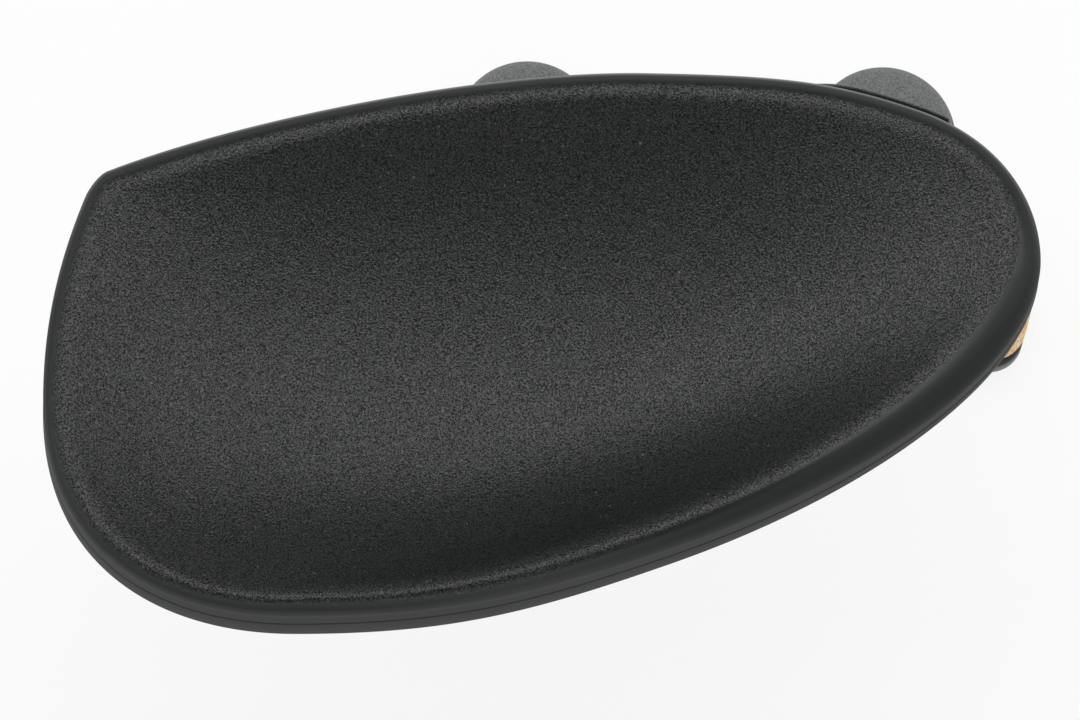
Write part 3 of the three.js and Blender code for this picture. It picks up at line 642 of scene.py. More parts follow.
@dataclass
class CupForm:
    """The cup's outline, rim and bowl as arrays round the outline, which every piece of the cup shares."""

    half_length: float = 56.6
    half_width: float = 32.5
    rim_low: float = 69.5
    rim_rise: float = 9.5
    roll: float = 2.8
    roll_growth: float = 2.3
    roll_heading: float = -28.0
    roll_drop: float = 3.4
    draft: float = 0.9
    land: float = 0.5
    land_drop: float = 0.15
    bowl_floor: float = 63.9
    bowl_x: float = -3.0
    bowl_y: float = -8.0
    dish_x: float = 2.0
    dish_y: float = 2.0
    dish_rise: float = 4.4
    dish_half_length: float = 44.4
    dish_half_width: float = 26.5
    wall_reach: float = 19.0
    wall_reach_growth: float = 24.0
    wall_power: float = 3.0
    seam_drop: float = 6.0
    shell_floor: float = 58.1
    shell_wall: float = 2.2
    lip_wall: float = 2.2
    gap: float = 0.3
    shell_side: float = 2.4
    shell_side_growth: float = 2.0
    turn_in: float = 3.4
    turn_drop: float = 1.2
    even_spread: float = 0.5
    around: int = 480
    outline_shares: tuple = (
        (-0.871, 0.652, 21.9, 0.0141, 0.292),
        (0.21, 1.005, -1, 0.317, 0.275),
        (0.757, 0.875, -19.2, 0.178, 0.186),
        (1.005, 0.333, -90, 0.118, 0.207),
        (0.261, -0.737, -160, 0.452, 0.294),
        (-0.486, -0.991, -180, 0.309, 0.278),
        (-0.996, -0.17, -270, 0.324, 0.149),
        (-0.914, 0.559, -291.7, 0.149, 0.0228),
    )

    def __post_init__(self) -> None:
        """Works out the rays from the outline to the bowl's centre and how high and wide the rim is on each.

        The rim widens with the fourth power of the cosine of the angle between the way it faces and its widest
        heading.
        """
        self.outline = self._outline()
        edge = np.roll(self.outline, -1, axis=0) - np.roll(self.outline, 1, axis=0)
        edge /= np.linalg.norm(edge, axis=1, keepdims=True)
        inward = self.middle - self.outline
        self.length = np.linalg.norm(inward, axis=1)
        self.inward = inward / self.length[:, None]
        self.square = self.inward[:, 0] * edge[:, 1] - self.inward[:, 1] * edge[:, 0]
        self.rise = np.clip((self.half_width - self.outline[:, 1]) / (2 * self.half_width), 0, None) ** 2
        self.crest = self.rim_low + self.rim_rise * self.rise
        facing = np.stack([-edge[:, 1], edge[:, 0]], axis=-1) @ towards(self.roll_heading)
        self.roll_width = self.roll + self.roll_growth * np.clip(facing, 0, 1) ** 4
        self.seam = self.crest - self.seam_drop
        self.side_bottom = self.seam - self.shell_side - self.shell_side_growth * self.rise

    @property
    def middle(self) -> Array:
        """Where the rays meet, in the bowl."""
        return np.array([self.bowl_x, self.bowl_y])

    def _outline(self) -> Array:
        """Points at even steps along the eight cubic curves through the outline's nodes, clockwise."""
        dense = []
        rows = self.outline_shares
        for row, after in zip(rows, rows[1:] + rows[:1]):
            start = np.array([row[0] * self.half_length, row[1] * self.half_width])
            end = np.array([after[0] * self.half_length, after[1] * self.half_width])
            leave = start + row[4] * self.half_length * towards(row[2])
            reach = end - after[3] * self.half_length * towards(after[2])
            t = np.linspace(0, 1, 160, endpoint=False)[:, None]
            dense.append((1 - t) ** 3 * start + 3 * (1 - t) ** 2 * t * leave + 3 * (1 - t) * t ** 2 * reach
                         + t ** 3 * end)
        dense = np.vstack(dense)
        closed = np.vstack([dense, dense[:1]])
        walked = np.concatenate([[0], np.cumsum(np.linalg.norm(np.diff(closed, axis=0), axis=1))])
        steps = np.arange(self.around) * walked[-1] / self.around
        return np.stack([np.interp(steps, walked, closed[:, k]) for k in (0, 1)], axis=-1)

    def draft_at(self, drop: float) -> Array:
        """How far in from the outline the wall stands at a drop below the crest.

        The wall leans out evenly from the roll's end down to where the under shell turns in, and leans most where
        the rim is highest.
        """
        low = self.crest - self.side_bottom
        return self.draft * self.rise * np.clip((low - drop) / (low - self.roll_drop), 0, 1)

    def inset_ring(self, inset: Array | float, height: Array | float) -> Array:
        """A ring moved in from the outline by a width square to it, at the given height."""
        step = (inset / self.square)[:, None]
        flat = self.outline + self.inward * step
        return np.column_stack([flat, np.broadcast_to(height, (self.around,))])

    def rings(self, rows: Iterable[tuple[Array | float, Array | float]]) -> Array:
        """A ring for each row of inset and height."""
        return np.stack([self.inset_ring(inset, height) for inset, height in rows])

    def reach(self, inset: Array | float) -> tuple[Array, Array]:
        """How far from the bowl's centre an inset ring lies on each ray, and the same evened out.

        The evened distance is the mean over neighbouring rays, weighted by a bell curve of the angle between them
        and by the angle each ray stands for.

        Args:
            inset: the ring's distance in from the outline.

        Returns:
            The true and the evened distances.
        """
        edge = self.length - inset / self.square
        angle = np.arctan2(-self.inward[:, 1], -self.inward[:, 0])
        apart = (angle[:, None] - angle[None] + np.pi) % (2 * np.pi) - np.pi
        span = np.abs((np.roll(angle, 1) - np.roll(angle, -1) + np.pi) % (2 * np.pi) - np.pi)
        weight = span[None] * np.exp(-(apart / self.even_spread) ** 2)
        return edge, (weight @ edge) / weight.sum(axis=1)

    def belly(self, levels: int) -> Array:
        """Rings of the under shell's belly, from its middle out.

        The height climbs from the floor to the edge with the fourth power of the way out, which is counted on the
        evened distance in the middle and on the true one at the edge.

        Args:
            levels: the number of rings.

        Returns:
            The rings.
        """
        edge, even = self.reach(self.turn_in)
        share = (np.arange(1, levels + 1) / levels)[:, None] ** 0.8
        out = edge * share
        way = out / (edge * share ** 6 + even * (1 - share ** 6))
        height = self.shell_floor + (self.side_bottom - self.turn_drop - self.shell_floor) * way ** 4
        flat = self.middle - self.inward * out[..., None]
        return np.concatenate([flat, height[..., None]], axis=-1)

    def dish(self, flat: Array) -> Array:
        """The shallow dish: it climbs with the square of the way from its lowest point, along and across."""
        along = (flat[..., 0] - self.dish_x) / self.dish_half_length
        across = (flat[..., 1] - self.dish_y) / self.dish_half_width
        return self.bowl_floor + self.dish_rise * (along ** 2 + across ** 2)

    def bowl_height(self, flat: Array) -> Array:
        """The dish plus the wall that climbs from it to the crease.

        Each crease point counts by the inverse cube of its distance. Twice over the total of those shares is the
        square of the way in from a straight crease, and their mean of the crease's height over the dish is the
        wall's full height. The wall fades with a power of the way in, over a reach that is longer at both ends.

        Args:
            flat: points by two.

        Returns:
            The heights.
        """
        crease = self.inset_ring(self.roll_width + self.land, self.crest - self.land_drop)
        span = np.linalg.norm((np.roll(crease, -1, axis=0) - crease)[:, :2], axis=1)
        apart = np.linalg.norm(flat[:, None] - crease[None, :, :2], axis=-1)
        weight = span / np.maximum(apart, 0.02) ** 3
        total = weight.sum(axis=1)
        lift = weight @ (crease[:, 2] - self.dish(crease)) / total
        ends = ((crease[:, 0] - self.dish_x) / self.half_length) ** 2
        reach = self.wall_reach + self.wall_reach_growth * (weight @ ends) / total
        fade = np.clip(1 - np.sqrt(2 / total) / reach, 0, None) ** self.wall_power
        return self.dish(flat) + lift * fade

    def bowl_ring(self, out: Array) -> Array:
        """A ring of the bowl at a distance out from the rays' centre."""
        flat = self.middle - self.inward * out[:, None]
        return np.column_stack([flat, self.bowl_height(flat)])

    def centre(self, height: float | None = None) -> Array:
        """The rays' centre at a height, or on the bowl."""
        return np.array([*self.middle, self.bowl_height(self.middle[None])[0] if height is None else height])


def moved_out(rings: Array, distance: float) -> Array:
    """Rings moved along the surface's own normals, which are the cross product of the steps across and along."""
    around = np.roll(rings, -1, axis=1) - np.roll(rings, 1, axis=1)
    across = np.gradient(rings, axis=0)
    normal = np.cross(across, around)
    normal /= np.linalg.norm(normal, axis=-1, keepdims=True)
    normal *= np.sign(normal[..., 2:].mean())
    return rings + normal * distance


def softened(rings: Array, passes: int) -> Array:
    """Rings smoothed across their levels: each pass moves a level a quarter of the way to both neighbours."""
    rings = rings.copy()
    for _ in range(passes):
        rings[1:-1] = rings[1:-1] / 2 + (rings[:-2] + rings[2:]) / 4
    return rings


@dataclass
class ChinPlate:
    """The upper moulding: bowl, rolled rim and the lip that the under shell meets."""

    cup: CupForm
    bowl_levels: int = 64
    level_power: float = 0.85
    under_step: int = 6  # the underside takes every sixth ring of the bowl
    crease_reach: float = 3.0
    crease_levels: int = 20
    roll_levels: int = 26
    soft_bowl_levels: int = 8
    soft_roll_levels: int = 16
    soft_passes: int = 60
    grain_out: float = 1.3
    grain_fade: float = 1.1
    matte_in: float = 2.2
    matte_fade: float = 1.6
    lip_roof: float = 2.6
    wall: float = 2.4
    seam_edge: float = 0.25
    boss_radius: float = 3.4
    boss_low: float = 58.0  # both ends are past the room that the bosses are kept to
    boss_high: float = 80.0

    def surface(self) -> Surface:
        """The whole closed moulding.

        From the centre out: the bowl, a softened crease, a quarter of an ellipse for the rolled rim, the wall, the
        seam's small round edge, the lip and the underside.
        """
        cup = self.cup
        crease_inset = cup.roll_width + cup.land
        reach = cup.reach(crease_inset)
        near = np.linspace(self.crease_reach, 0, self.crease_levels + 1)[1:]
        inner_edge = reach[0] - self.crease_reach
        shares = np.linspace(0, 1, self.bowl_levels + 1)[1:] ** self.level_power
        outs = [inner_edge * share for share in shares] + [reach[0] - gap for gap in near]
        bowl = np.stack([cup.bowl_ring(out) for out in outs])

        turn = np.radians(np.linspace(0, 90, self.roll_levels + 1))
        draft = cup.draft_at(cup.roll_drop)
        roll = cup.rings((draft + (cup.roll_width - draft) * (1 - math.sin(a)),
                          cup.crest - cup.roll_drop * (1 - math.cos(a))) for a in turn)
        top = np.concatenate([bowl, roll])
        soft = slice(self.bowl_levels - self.soft_bowl_levels,
                     self.bowl_levels + self.crease_levels + self.soft_roll_levels)
        top[soft] = softened(top[soft], self.soft_passes)

        drop = np.linspace(0, cup.seam_drop - cup.roll_drop - self.seam_edge, 6)[1:]
        wall = cup.rings((cup.draft_at(cup.roll_drop + d), cup.crest - cup.roll_drop - d) for d in drop)
        corner = np.radians(np.linspace(0, 90, 5))[1:]
        draft = cup.draft_at(cup.seam_drop)
        edge = cup.rings((draft + self.seam_edge * (1 - math.cos(a)), cup.seam + self.seam_edge * (1 - math.sin(a)))
                         for a in corner)
        lip = cup.rings((cup.lip_wall, cup.seam + rise) for rise in (0.0, self.lip_roof))
        under = moved_out(bowl[self.under_step:self.bowl_levels:self.under_step], -self.wall)[::-1]
        rings = np.concatenate([top, wall, edge, lip, under])
        pole = cup.centre()
        return ring_stack(rings, pole, pole - np.array([0, 0, self.wall]))

    def boss_room(self) -> Surface:
        """The space between the two mouldings, from inside the plate to just above the under shell's floor."""
        cup = self.cup
        reach = cup.reach(cup.roll_width + cup.land)
        bowl = np.stack([cup.bowl_ring(reach[0] * share) for share in np.linspace(0.06, 0.97, 24)])
        above = moved_out(bowl, -self.wall / 2)
        below = moved_out(cup.belly(24), cup.shell_wall + cup.gap)
        pole = cup.centre()
        return ring_stack(np.concatenate([above, below[::-1]]), pole - np.array([0, 0, self.wall / 2]),
                          cup.centre(cup.shell_floor + cup.shell_wall + cup.gap))

    def finish_shares(self, points: Array) -> tuple[Array, Array]:
        """How grained and how matte the moulding is at each point.

        The grain is 1 inside the crease and fades to 0 over the start of the rim. The outer wall is matte where the
        rim is high, and gets less so from the outline in. Both follow a smooth step of the way out from the crease.

        Args:
            points: rows of X, Y and Z in millimetres.

        Returns:
            The two shares.
        """
        cup = self.cup
        rim = cup.roll_width + cup.land
        crease = cup.inset_ring(rim, 0.0)[:, :2] - cup.middle
        angle = np.arctan2(crease[:, 1], crease[:, 0])
        order = np.argsort(angle)
        flat = points[:, :2] - cup.middle
        turn = np.arctan2(flat[:, 1], flat[:, 0])
        edge, width = (np.interp(turn, angle[order], values[order], period=2 * np.pi)
                       for values in (np.linalg.norm(crease, axis=1), rim))
        out = np.linalg.norm(flat, axis=1) - edge
        rise = np.clip((cup.half_width - points[:, 1]) / cup.half_width, 0, 1)
        matte = np.clip((out - width + self.matte_in) / self.matte_fade, 0, 1) * rise
        return smooth_step(1 - (out - self.grain_out) / self.grain_fade), smooth_step(matte)

    def build(self, finishes: Finishes, screws: list["SmallScrew"]) -> None:
        """Makes the piece, with a boss for each small screw."""
        steps = []
        for screw in screws:
            boss = turned(screw.x, screw.y, bar_profile(self.boss_radius, self.boss_low, self.boss_high, 0.1, 0.1), 48)
            steps.append((Join.ADD, combined("boss", boss, [(Join.KEEP, self.boss_room())])))
        steps += [(Join.CUT, screw.hole(self.cup.gap)) for screw in screws]
        mesh = combined("chin_cup", self.surface(), steps)
        points = np.empty(len(mesh.vertices) * 3, dtype=np.float32)
        mesh.vertices.foreach_get("co", points)
        for key, values in zip(("grain", "matte"), self.finish_shares(points.reshape(-1, 3) / METRES - SHIFT)):
            mesh.attributes.new(key, "FLOAT", "POINT").data.foreach_set("value", values.astype(np.float32))
        add_piece("chin_cup", mesh, finishes.cup, "cup", "chin_plate", sharp=50)


@dataclass
class UnderShell:
    """The lower moulding of the cup, with a countersunk hole for each screw and room for the two posts."""

    cup: CupForm
    edge: float = 0.3
    turn_rise: float = 0.4
    lid_inset: float = 3.0
    lid_top: float = 82.0

    def outside(self, margin: float) -> Array:
        """Rings of the outside, grown by a margin, from the seam down the wall and in over the belly.

        The wall turns in over a quarter of an ellipse: the inset grows with one minus the cosine of the angle and
        the height falls with its sine.

        Args:
            margin: how far every surface stands out.

        Returns:
            The rings.
        """
        cup = self.cup
        top = cup.seam - cup.gap + margin
        corner = np.radians(np.linspace(90, 0, 5))
        inset = cup.draft_at(cup.seam_drop + cup.gap) - margin
        rows = [(inset + self.edge * (1 - math.cos(a)), top - self.edge * (1 - math.sin(a))) for a in corner]
        turn = np.radians(np.linspace(0, 84, 12))
        start = cup.side_bottom + self.turn_rise
        fall = cup.turn_drop + self.turn_rise
        rows += [(cup.turn_in * (1 - math.cos(a)) - margin * math.cos(a), start - (fall + margin) * math.sin(a))
                 for a in turn]
        belly = moved_out(cup.belly(28), -margin) if margin else cup.belly(28)
        return np.concatenate([cup.rings(rows), belly[::-1]])

    def filled(self, margin: float) -> Surface:
        """The outside as a filled body, for cutting what fits against it."""
        cup = self.cup
        lid = cup.inset_ring(self.lid_inset, cup.crest + margin)
        return ring_stack(np.concatenate([lid[None], self.outside(margin)]), cup.centre(self.lid_top),
                          cup.centre(cup.shell_floor - margin))

    def surface(self) -> Surface:
        """The closed moulding: its inside, its inner wall, its top edge and its outside."""
        cup = self.cup
        inside = moved_out(cup.belly(16), cup.shell_wall)
        inset = cup.lip_wall + cup.gap
        wall = cup.rings((inset, height) for height in (cup.side_bottom + cup.shell_wall, cup.seam - cup.gap))
        rings = np.concatenate([inside, wall, self.outside(0.0)])
        return ring_stack(rings, cup.centre(cup.shell_floor + cup.shell_wall), cup.centre(cup.shell_floor))

    def build(self, finishes: Finishes, screws: list["SmallScrew"], posts: list["Post"]) -> None:
        """Makes the piece."""
        steps = [(Join.CUT, screw.hole(self.cup.gap)) for screw in screws]
        steps += [(Join.CUT, post.recess()) for post in posts]
        mesh = combined("cup_under_shell", self.surface(), steps)
        add_piece("cup_under_shell", mesh, finishes.shell, "cup", "under_shell", sharp=45)


# ---- Small screws


@dataclass
class SmallScrew:
    """A countersunk self-tapping screw with a hexagonal socket, driven from below."""

    node: str
    x: float
    y: float
    face: float
    length: float
    radius: float = 1.4
    root: float = 1.08
    pitch: float = 0.9
    head_radius: float = 2.7
    head_edge: float = 0.3
    socket_across: float = 2.0
    socket_depth: float = 1.1

    def hole(self, margin: float) -> Surface:
        """The screw's own shape grown by a margin and opened downwards, for cutting its countersunk hole."""
        neck = self.face + self.head_edge + self.head_radius - self.radius
        profile = np.array([
            [1.0, self.face - 4],
            [self.head_radius + margin, self.face - 4],
            [self.head_radius + margin, self.face + self.head_edge],
            [self.radius + margin, neck],
            [self.radius + margin, self.face + self.length + margin],
            [0.7, self.face + self.length + margin],
        ])
        return turned(self.x, self.y, profile, 48)

    def surface(self) -> Surface:
        """Rings from the socket's floor out over the head and up the thread to the point."""
        around = 60
        hexagonal = hexagon(self.socket_across, around)
        face = self.face
        head = np.array([[1.35, 0.0], [2.45, 0.0], [2.62, 0.07], [2.7, 0.2], [2.7, 0.3], [1.45, 1.55], [1.4, 1.62]])
        rings = [np.full(around, 0.3), hexagonal * 0.98, hexagonal] + [np.full(around, r) for r in head[:, 0]]
        heights = [self.socket_depth + 0.3, self.socket_depth, 0.16] + head[:, 1].tolist()
        radii, levels = np.stack(rings), face + np.array(heights)
        thread, rows = threaded(self.radius, self.root, self.pitch, face + 1.7, face + self.length - 0.9, around)
        point = np.array([[1.0, 0.6], [0.8, 0.25], [0.5, 0.0]])
        radii = np.concatenate([radii, thread, np.repeat(point[:, :1], around, axis=1)])
        levels = np.concatenate([levels, rows, face + self.length - point[:, 1]])
        rings = turned_rings(self.x, self.y, radii, levels, around)
        ends = [np.array([self.x, self.y, level]) for level in (levels[0] + 0.05, levels[-1])]
        return ring_stack(rings, *ends)

    def build(self, finishes: Finishes) -> None:
        """Makes the piece."""
        mesh = mesh_of(self.node, self.surface())
        add_piece("countersunk_" + self.node, mesh, finishes.steel, "cup", self.node)


def threaded(radius: float, root: float, pitch: float, low: float, high: float, around: int) -> tuple[Array, Array]:
    """A right-handed thread as radii on a grid.

    The phase is the height over the pitch less the turn. Its distance from the nearest crest, cut flat at the crest
    and the root, sets how deep the groove is. The thread fades in and out over a pitch at its ends.

    Args:
        radius: the crest's radius.
        root: the groove's radius.
        pitch: the climb in one turn.
        low, high: where the thread starts and ends.
        around: points in a ring.

    Returns:
        The radii, rows by points, and the rows' heights.
    """
    rows = np.linspace(low, high, int((high - low) / pitch * 9) + 1)
    turn = np.arange(around) / around
    phase = (rows[:, None] / pitch - turn) % 1.0
    depth = np.clip(np.abs(phase - 0.5) * 2.6 - 0.2, 0, 1)
    fade = np.clip(np.minimum(rows - low, high - rows) / pitch, 0, 1)[:, None]
    return radius - (radius - root) * depth * fade, rows


# ---- The bracket and its posts


@dataclass
class Post:
    """One of the bracket's two posts: a round column with a soft dome, and its keyed hollow."""

    side: str
    x: float
    y: float
    radius: float = 8.5
    bottom: float = 22.0
    foot_edge: float = 0.5
    dome_top: float = 58.6
    dome_shoulder: float = 7.5
    dome_power: float = 2.8
    pocket_half: float = 5.0
    pocket_top: float = 42.2
    mouth: float = 2.4
    bore: float = 4.3
    bore_low: float = 41.0
    insert_top: float = 52.5
    tip_radius: float = 2.8
    tip_top: float = 55.8
    ball_back: float = 15.7
    ball_out: float = 1.0
    gap: float = 0.3
    recess_low: float = 54.2
    stud_hole_radius: float = 1.8
    stud_hole_low: float = 52.2
    stud_hole_top: float = 56.9

    @property
    def out(self) -> int:
        """1 where outwards is +X, and -1 where it is -X."""
        return -1 if self.side == "left" else 1

    @property
    def ball(self) -> tuple[float, float]:
        """Where the ball stud stands."""
        return self.x + self.out * self.ball_out, self.y - self.ball_back

    def outline(self, rows: list[tuple[float, float, float]]) -> Array:
        """A flat outline beside the post.

        Args:
            rows: each corner's way outwards from the axis, its way back from the player, and its radius. They run
                counterclockwise on the right post.

        Returns:
            The outline's points, counterclockwise on both posts.
        """
        corners = [(self.x + self.out * way, self.y - back, radius) for way, back, radius in rows]
        return rounded_outline(corners if self.out > 0 else corners[::-1])

    def column(self) -> Surface:
        """The outside. The dome's profile is a superellipse: the powers of the two shares add up to one."""
        turn = np.radians(np.linspace(0, 90, 22))
        power = 2 / self.dome_power
        dome = np.stack([self.radius * np.cos(turn) ** power,
                         self.dome_top - self.dome_shoulder * (1 - np.sin(turn) ** power)], axis=-1)[:-1]
        foot = arc((self.radius - self.foot_edge, self.bottom + self.foot_edge), self.foot_edge, -90, 0)
        return turned(self.x, self.y, np.vstack([[[4.0, self.bottom]], foot, dome, [[0.4, self.dome_top]]]), 128)

    def hollow(self) -> list[Surface]:
        """The square pocket with its eased mouth, the insert's bore and the room for the screw's tip."""
        square = rounded_outline(self.square(self.pocket_half, 0.5))
        rows = np.array([[-self.mouth, self.bottom - 2.0], [0.0, self.bottom + self.mouth - 2.0],
                         [0.0, self.pocket_top]])
        step = self.insert_top + self.gap
        bore = np.array([[2.0, self.bore_low], [self.bore, self.bore_low], [self.bore, step],
                         [self.tip_radius, step], [self.tip_radius, self.tip_top], [1.0, self.tip_top]])
        return [slab(square, rows), turned(self.x, self.y, bore, 64)]

    def square(self, half: float, corner: float) -> list[tuple[float, float, float]]:
        """The corners of an upright square bar about the post's axis."""
        return [(self.x + a * half, self.y + b * half, corner) for a, b in ((-1, -1), (1, -1), (1, 1), (-1, 1))]

    def recess(self) -> Surface:
        """The room that the under shell leaves for the post."""
        profile = bar_profile(self.radius + self.gap, self.recess_low, self.dome_top + self.gap, 0.01, 0.4)
        return turned(self.x, self.y, profile, 128)

    def stud_hole(self) -> Surface:
        """The hole for the ball stud's shank."""
        profile = bar_profile(self.stud_hole_radius, self.stud_hole_low, self.stud_hole_top, 0.01, 0.01)
        return turned(*self.ball, profile, 48)


@dataclass
class ClampBracket:
    """The plate under the cup that carries both posts, with a narrow shelf beside the right one."""

    shell: UnderShell
    posts: list[Post]
    left: float = -17.0
    right: float = 52.5
    front: float = 8.0
    back: float = 26.0
    corner: float = 5.0
    bottom: float = 54.2
    top: float = 61.4
    shelf_out: float = 2.02
    shelf_in: float = 4.1
    groove_in: float = 0.6
    shelf_start: float = 29.4
    shelf_full: float = 3.4
    shelf_end: float = 7.6
    shelf_floor: float = 57.4
    shelf_top: float = 59.6
    shelf_lip: float = 0.28

    def plate(self) -> Surface:
        """The flat plate with eased lower edges, before the shell's room is cut from it."""
        left, right = self.posts
        outline = rounded_outline([
            (self.left, self.front, self.corner),
            (self.right, self.front, self.corner),
            (self.right, self.front + self.corner + 1.2, 1.0),
            (right.x + right.radius, self.back, 1.0),
            (right.x, right.y, 0.5),
            (left.x, left.y, 0.5),
            (self.left, self.back - self.corner, 2.0),
        ])
        return slab(outline, rounded_edges(self.bottom, self.top, 0.7, 0.3))

    def shelf(self) -> bpy.types.Mesh:
        """The shelf beside the right post, which is the cup's outline stood out past its edge."""
        edge = slab(self.stood_out(0.0), rounded_edges(self.bottom, self.shelf_top, 0.5, 0.15, 4))
        return combined("shelf", edge, [(Join.KEEP, self.stretch(0.0))])

    def groove(self) -> bpy.types.Mesh:
        """The groove between the shelf's lip and the cup, which runs on over the post's dome."""
        groove = slab(self.stood_out(self.shelf_lip),
                      np.array([[0.3, self.shelf_floor], [0.0, self.shelf_floor + 0.3], [0.0, self.shelf_top - 0.15],
                                [-0.15, self.shelf_top], [-0.15, self.shelf_top + 1]]))
        core = slab(inset_outline(self.shell.cup.outline[::-1], self.groove_in),
                    np.array([[0.0, self.bottom], [0.0, self.shelf_top + 2]]))
        return combined("groove", groove, [(Join.KEEP, self.stretch(self.shelf_lip)), (Join.CUT, core)])

    def stood_out(self, margin: float) -> Array:
        """The cup's outline stood out to the shelf's edge, less a margin.

        How far follows a smooth step along X. It starts inside the plate at the shelf's left end, and reaches all
        of it beside the post.
        """
        along = self.shell.cup.outline[::-1, 0] - self.posts[1].x
        share = smooth_step((along + self.shelf_start) / (self.shelf_start - self.shelf_full))
        out = (self.shelf_in + self.shelf_out) * share - self.shelf_in
        return inset_outline(self.shell.cup.outline[::-1], margin - out)

    def stretch(self, margin: float) -> Surface:
        """The block that the shelf's ends are cut by, smaller at both ends by a margin."""
        post = self.posts[1]
        left, right = post.x - self.shelf_start + margin, post.x + self.shelf_end - margin
        low, high = post.y - post.radius, post.y + post.radius + self.shelf_out
        corners = rounded_outline([(x, y, 0.4) for x, y in ((left, low), (right, low), (right, high), (left, high))])
        return slab(corners, rounded_edges(self.bottom - 1, self.shelf_top + 2, 0.2, 0.2))

    def build(self, finishes: Finishes, screws: list[SmallScrew]) -> None:
        """Makes the piece."""
        gap = self.shell.cup.gap
        steps = [(Join.ADD, self.shelf()), (Join.CUT, self.shell.filled(gap))]
        steps += [(Join.ADD, post.column()) for post in self.posts] + [(Join.CUT, self.groove())]
        for post in self.posts:
            steps += [(Join.CUT, tool) for tool in post.hollow() + [post.stud_hole()]]
        steps += [(Join.CUT, screw.hole(gap)) for screw in screws]
        mesh = combined("post_bracket", self.plate(), steps)
        add_piece("post_bracket", mesh, finishes.bracket, "cup", "clamp_bracket")


# ---- The clamps


@dataclass
class Jaw:
    """A lower jaw and its cork, placed from the axis of their post."""

    post: Post
    reach_out: float = 20.3
    reach_in: float = 13.4
    depth: float = 18.1
    back: float = 6.0
    corner: float = 4.0
    lean: float = 2.2
    thickness: float = 4.4
    puck_height: float = 9.0
    column_half: float = 4.7
    column_top: float = 35.85
    head_room: float = 4.6
    head_room_top: float = 6.6
    shank_room: float = 2.8
    shank_room_top: float = 37.0
    cork_low: float = 4.6
    cork_top: float = 6.6
    cork_set_back: float = 0.8
    cork_back: float = 8.8
    cork_corner: float = 1.5

    def outline(self, front: float, back: float, back_corner: float) -> Array:
        """A jaw's flat outline from its front and back depths."""
        return self.post.outline([
            (-self.reach_in, front, self.corner), (self.reach_out - self.lean, front, self.corner),
            (self.reach_out, back, back_corner), (-self.reach_in, back, back_corner),
        ])

    def body(self) -> bpy.types.Mesh:
        """The plate with eased edges, the round puck, the square column and the screw's stepped hole."""
        post = self.post
        plate = slab(self.outline(self.depth, self.back, self.corner), rounded_edges(0.0, self.thickness, 0.6, 1.0))
        puck = turned(post.x, post.y, bar_profile(post.radius, 0.0, self.puck_height, 0.6, 0.9), 128)
        column = slab(rounded_outline(post.square(self.column_half, 0.9)),
                      np.array([[0.0, 3.0], [0.0, self.column_top - 0.7], [0.7, self.column_top]]))
        room, shank = self.head_room, self.shank_room
        hole = turned(post.x, post.y, np.array([
            [3.0, -1.0], [room + 1.4, -1.0], [room, 0.4], [room, self.head_room_top], [shank, self.head_room_top],
            [shank, self.shank_room_top], [shank / 2, self.shank_room_top],
        ]), 96)
        return combined("jaw", plate, [(Join.ADD, puck), (Join.ADD, column), (Join.CUT, hole)])

    def cork(self) -> Surface:
        """The cork: a soft raised lip round a slightly pressed middle."""
        top = self.cork_top
        rows = np.vstack([
            [[1.0, self.cork_low], [0.12, self.cork_low], [0.0, self.cork_low + 0.12]],
            arc((0.7, top - 0.7), 0.7, 180, 90),
            [[0.95, top - 0.03], [1.15, top - 0.12], [1.3, top - 0.24], [1.4, top - 0.3]],
        ])
        return slab(self.outline(self.depth - self.cork_set_back, self.cork_back, self.cork_corner), rows)

    def build(self, finishes: Finishes) -> None:
        """Makes the jaw and its cork."""
        side = self.post.side
        body = side + "_jaw"
        add_piece(side + "_clamp_jaw", self.body(), finishes.jaw, body, "lower_jaw_" + side)
        add_piece(side + "_jaw_pad", mesh_of("pad", self.cork()), finishes.cork, body, "jaw_cork_" + side)


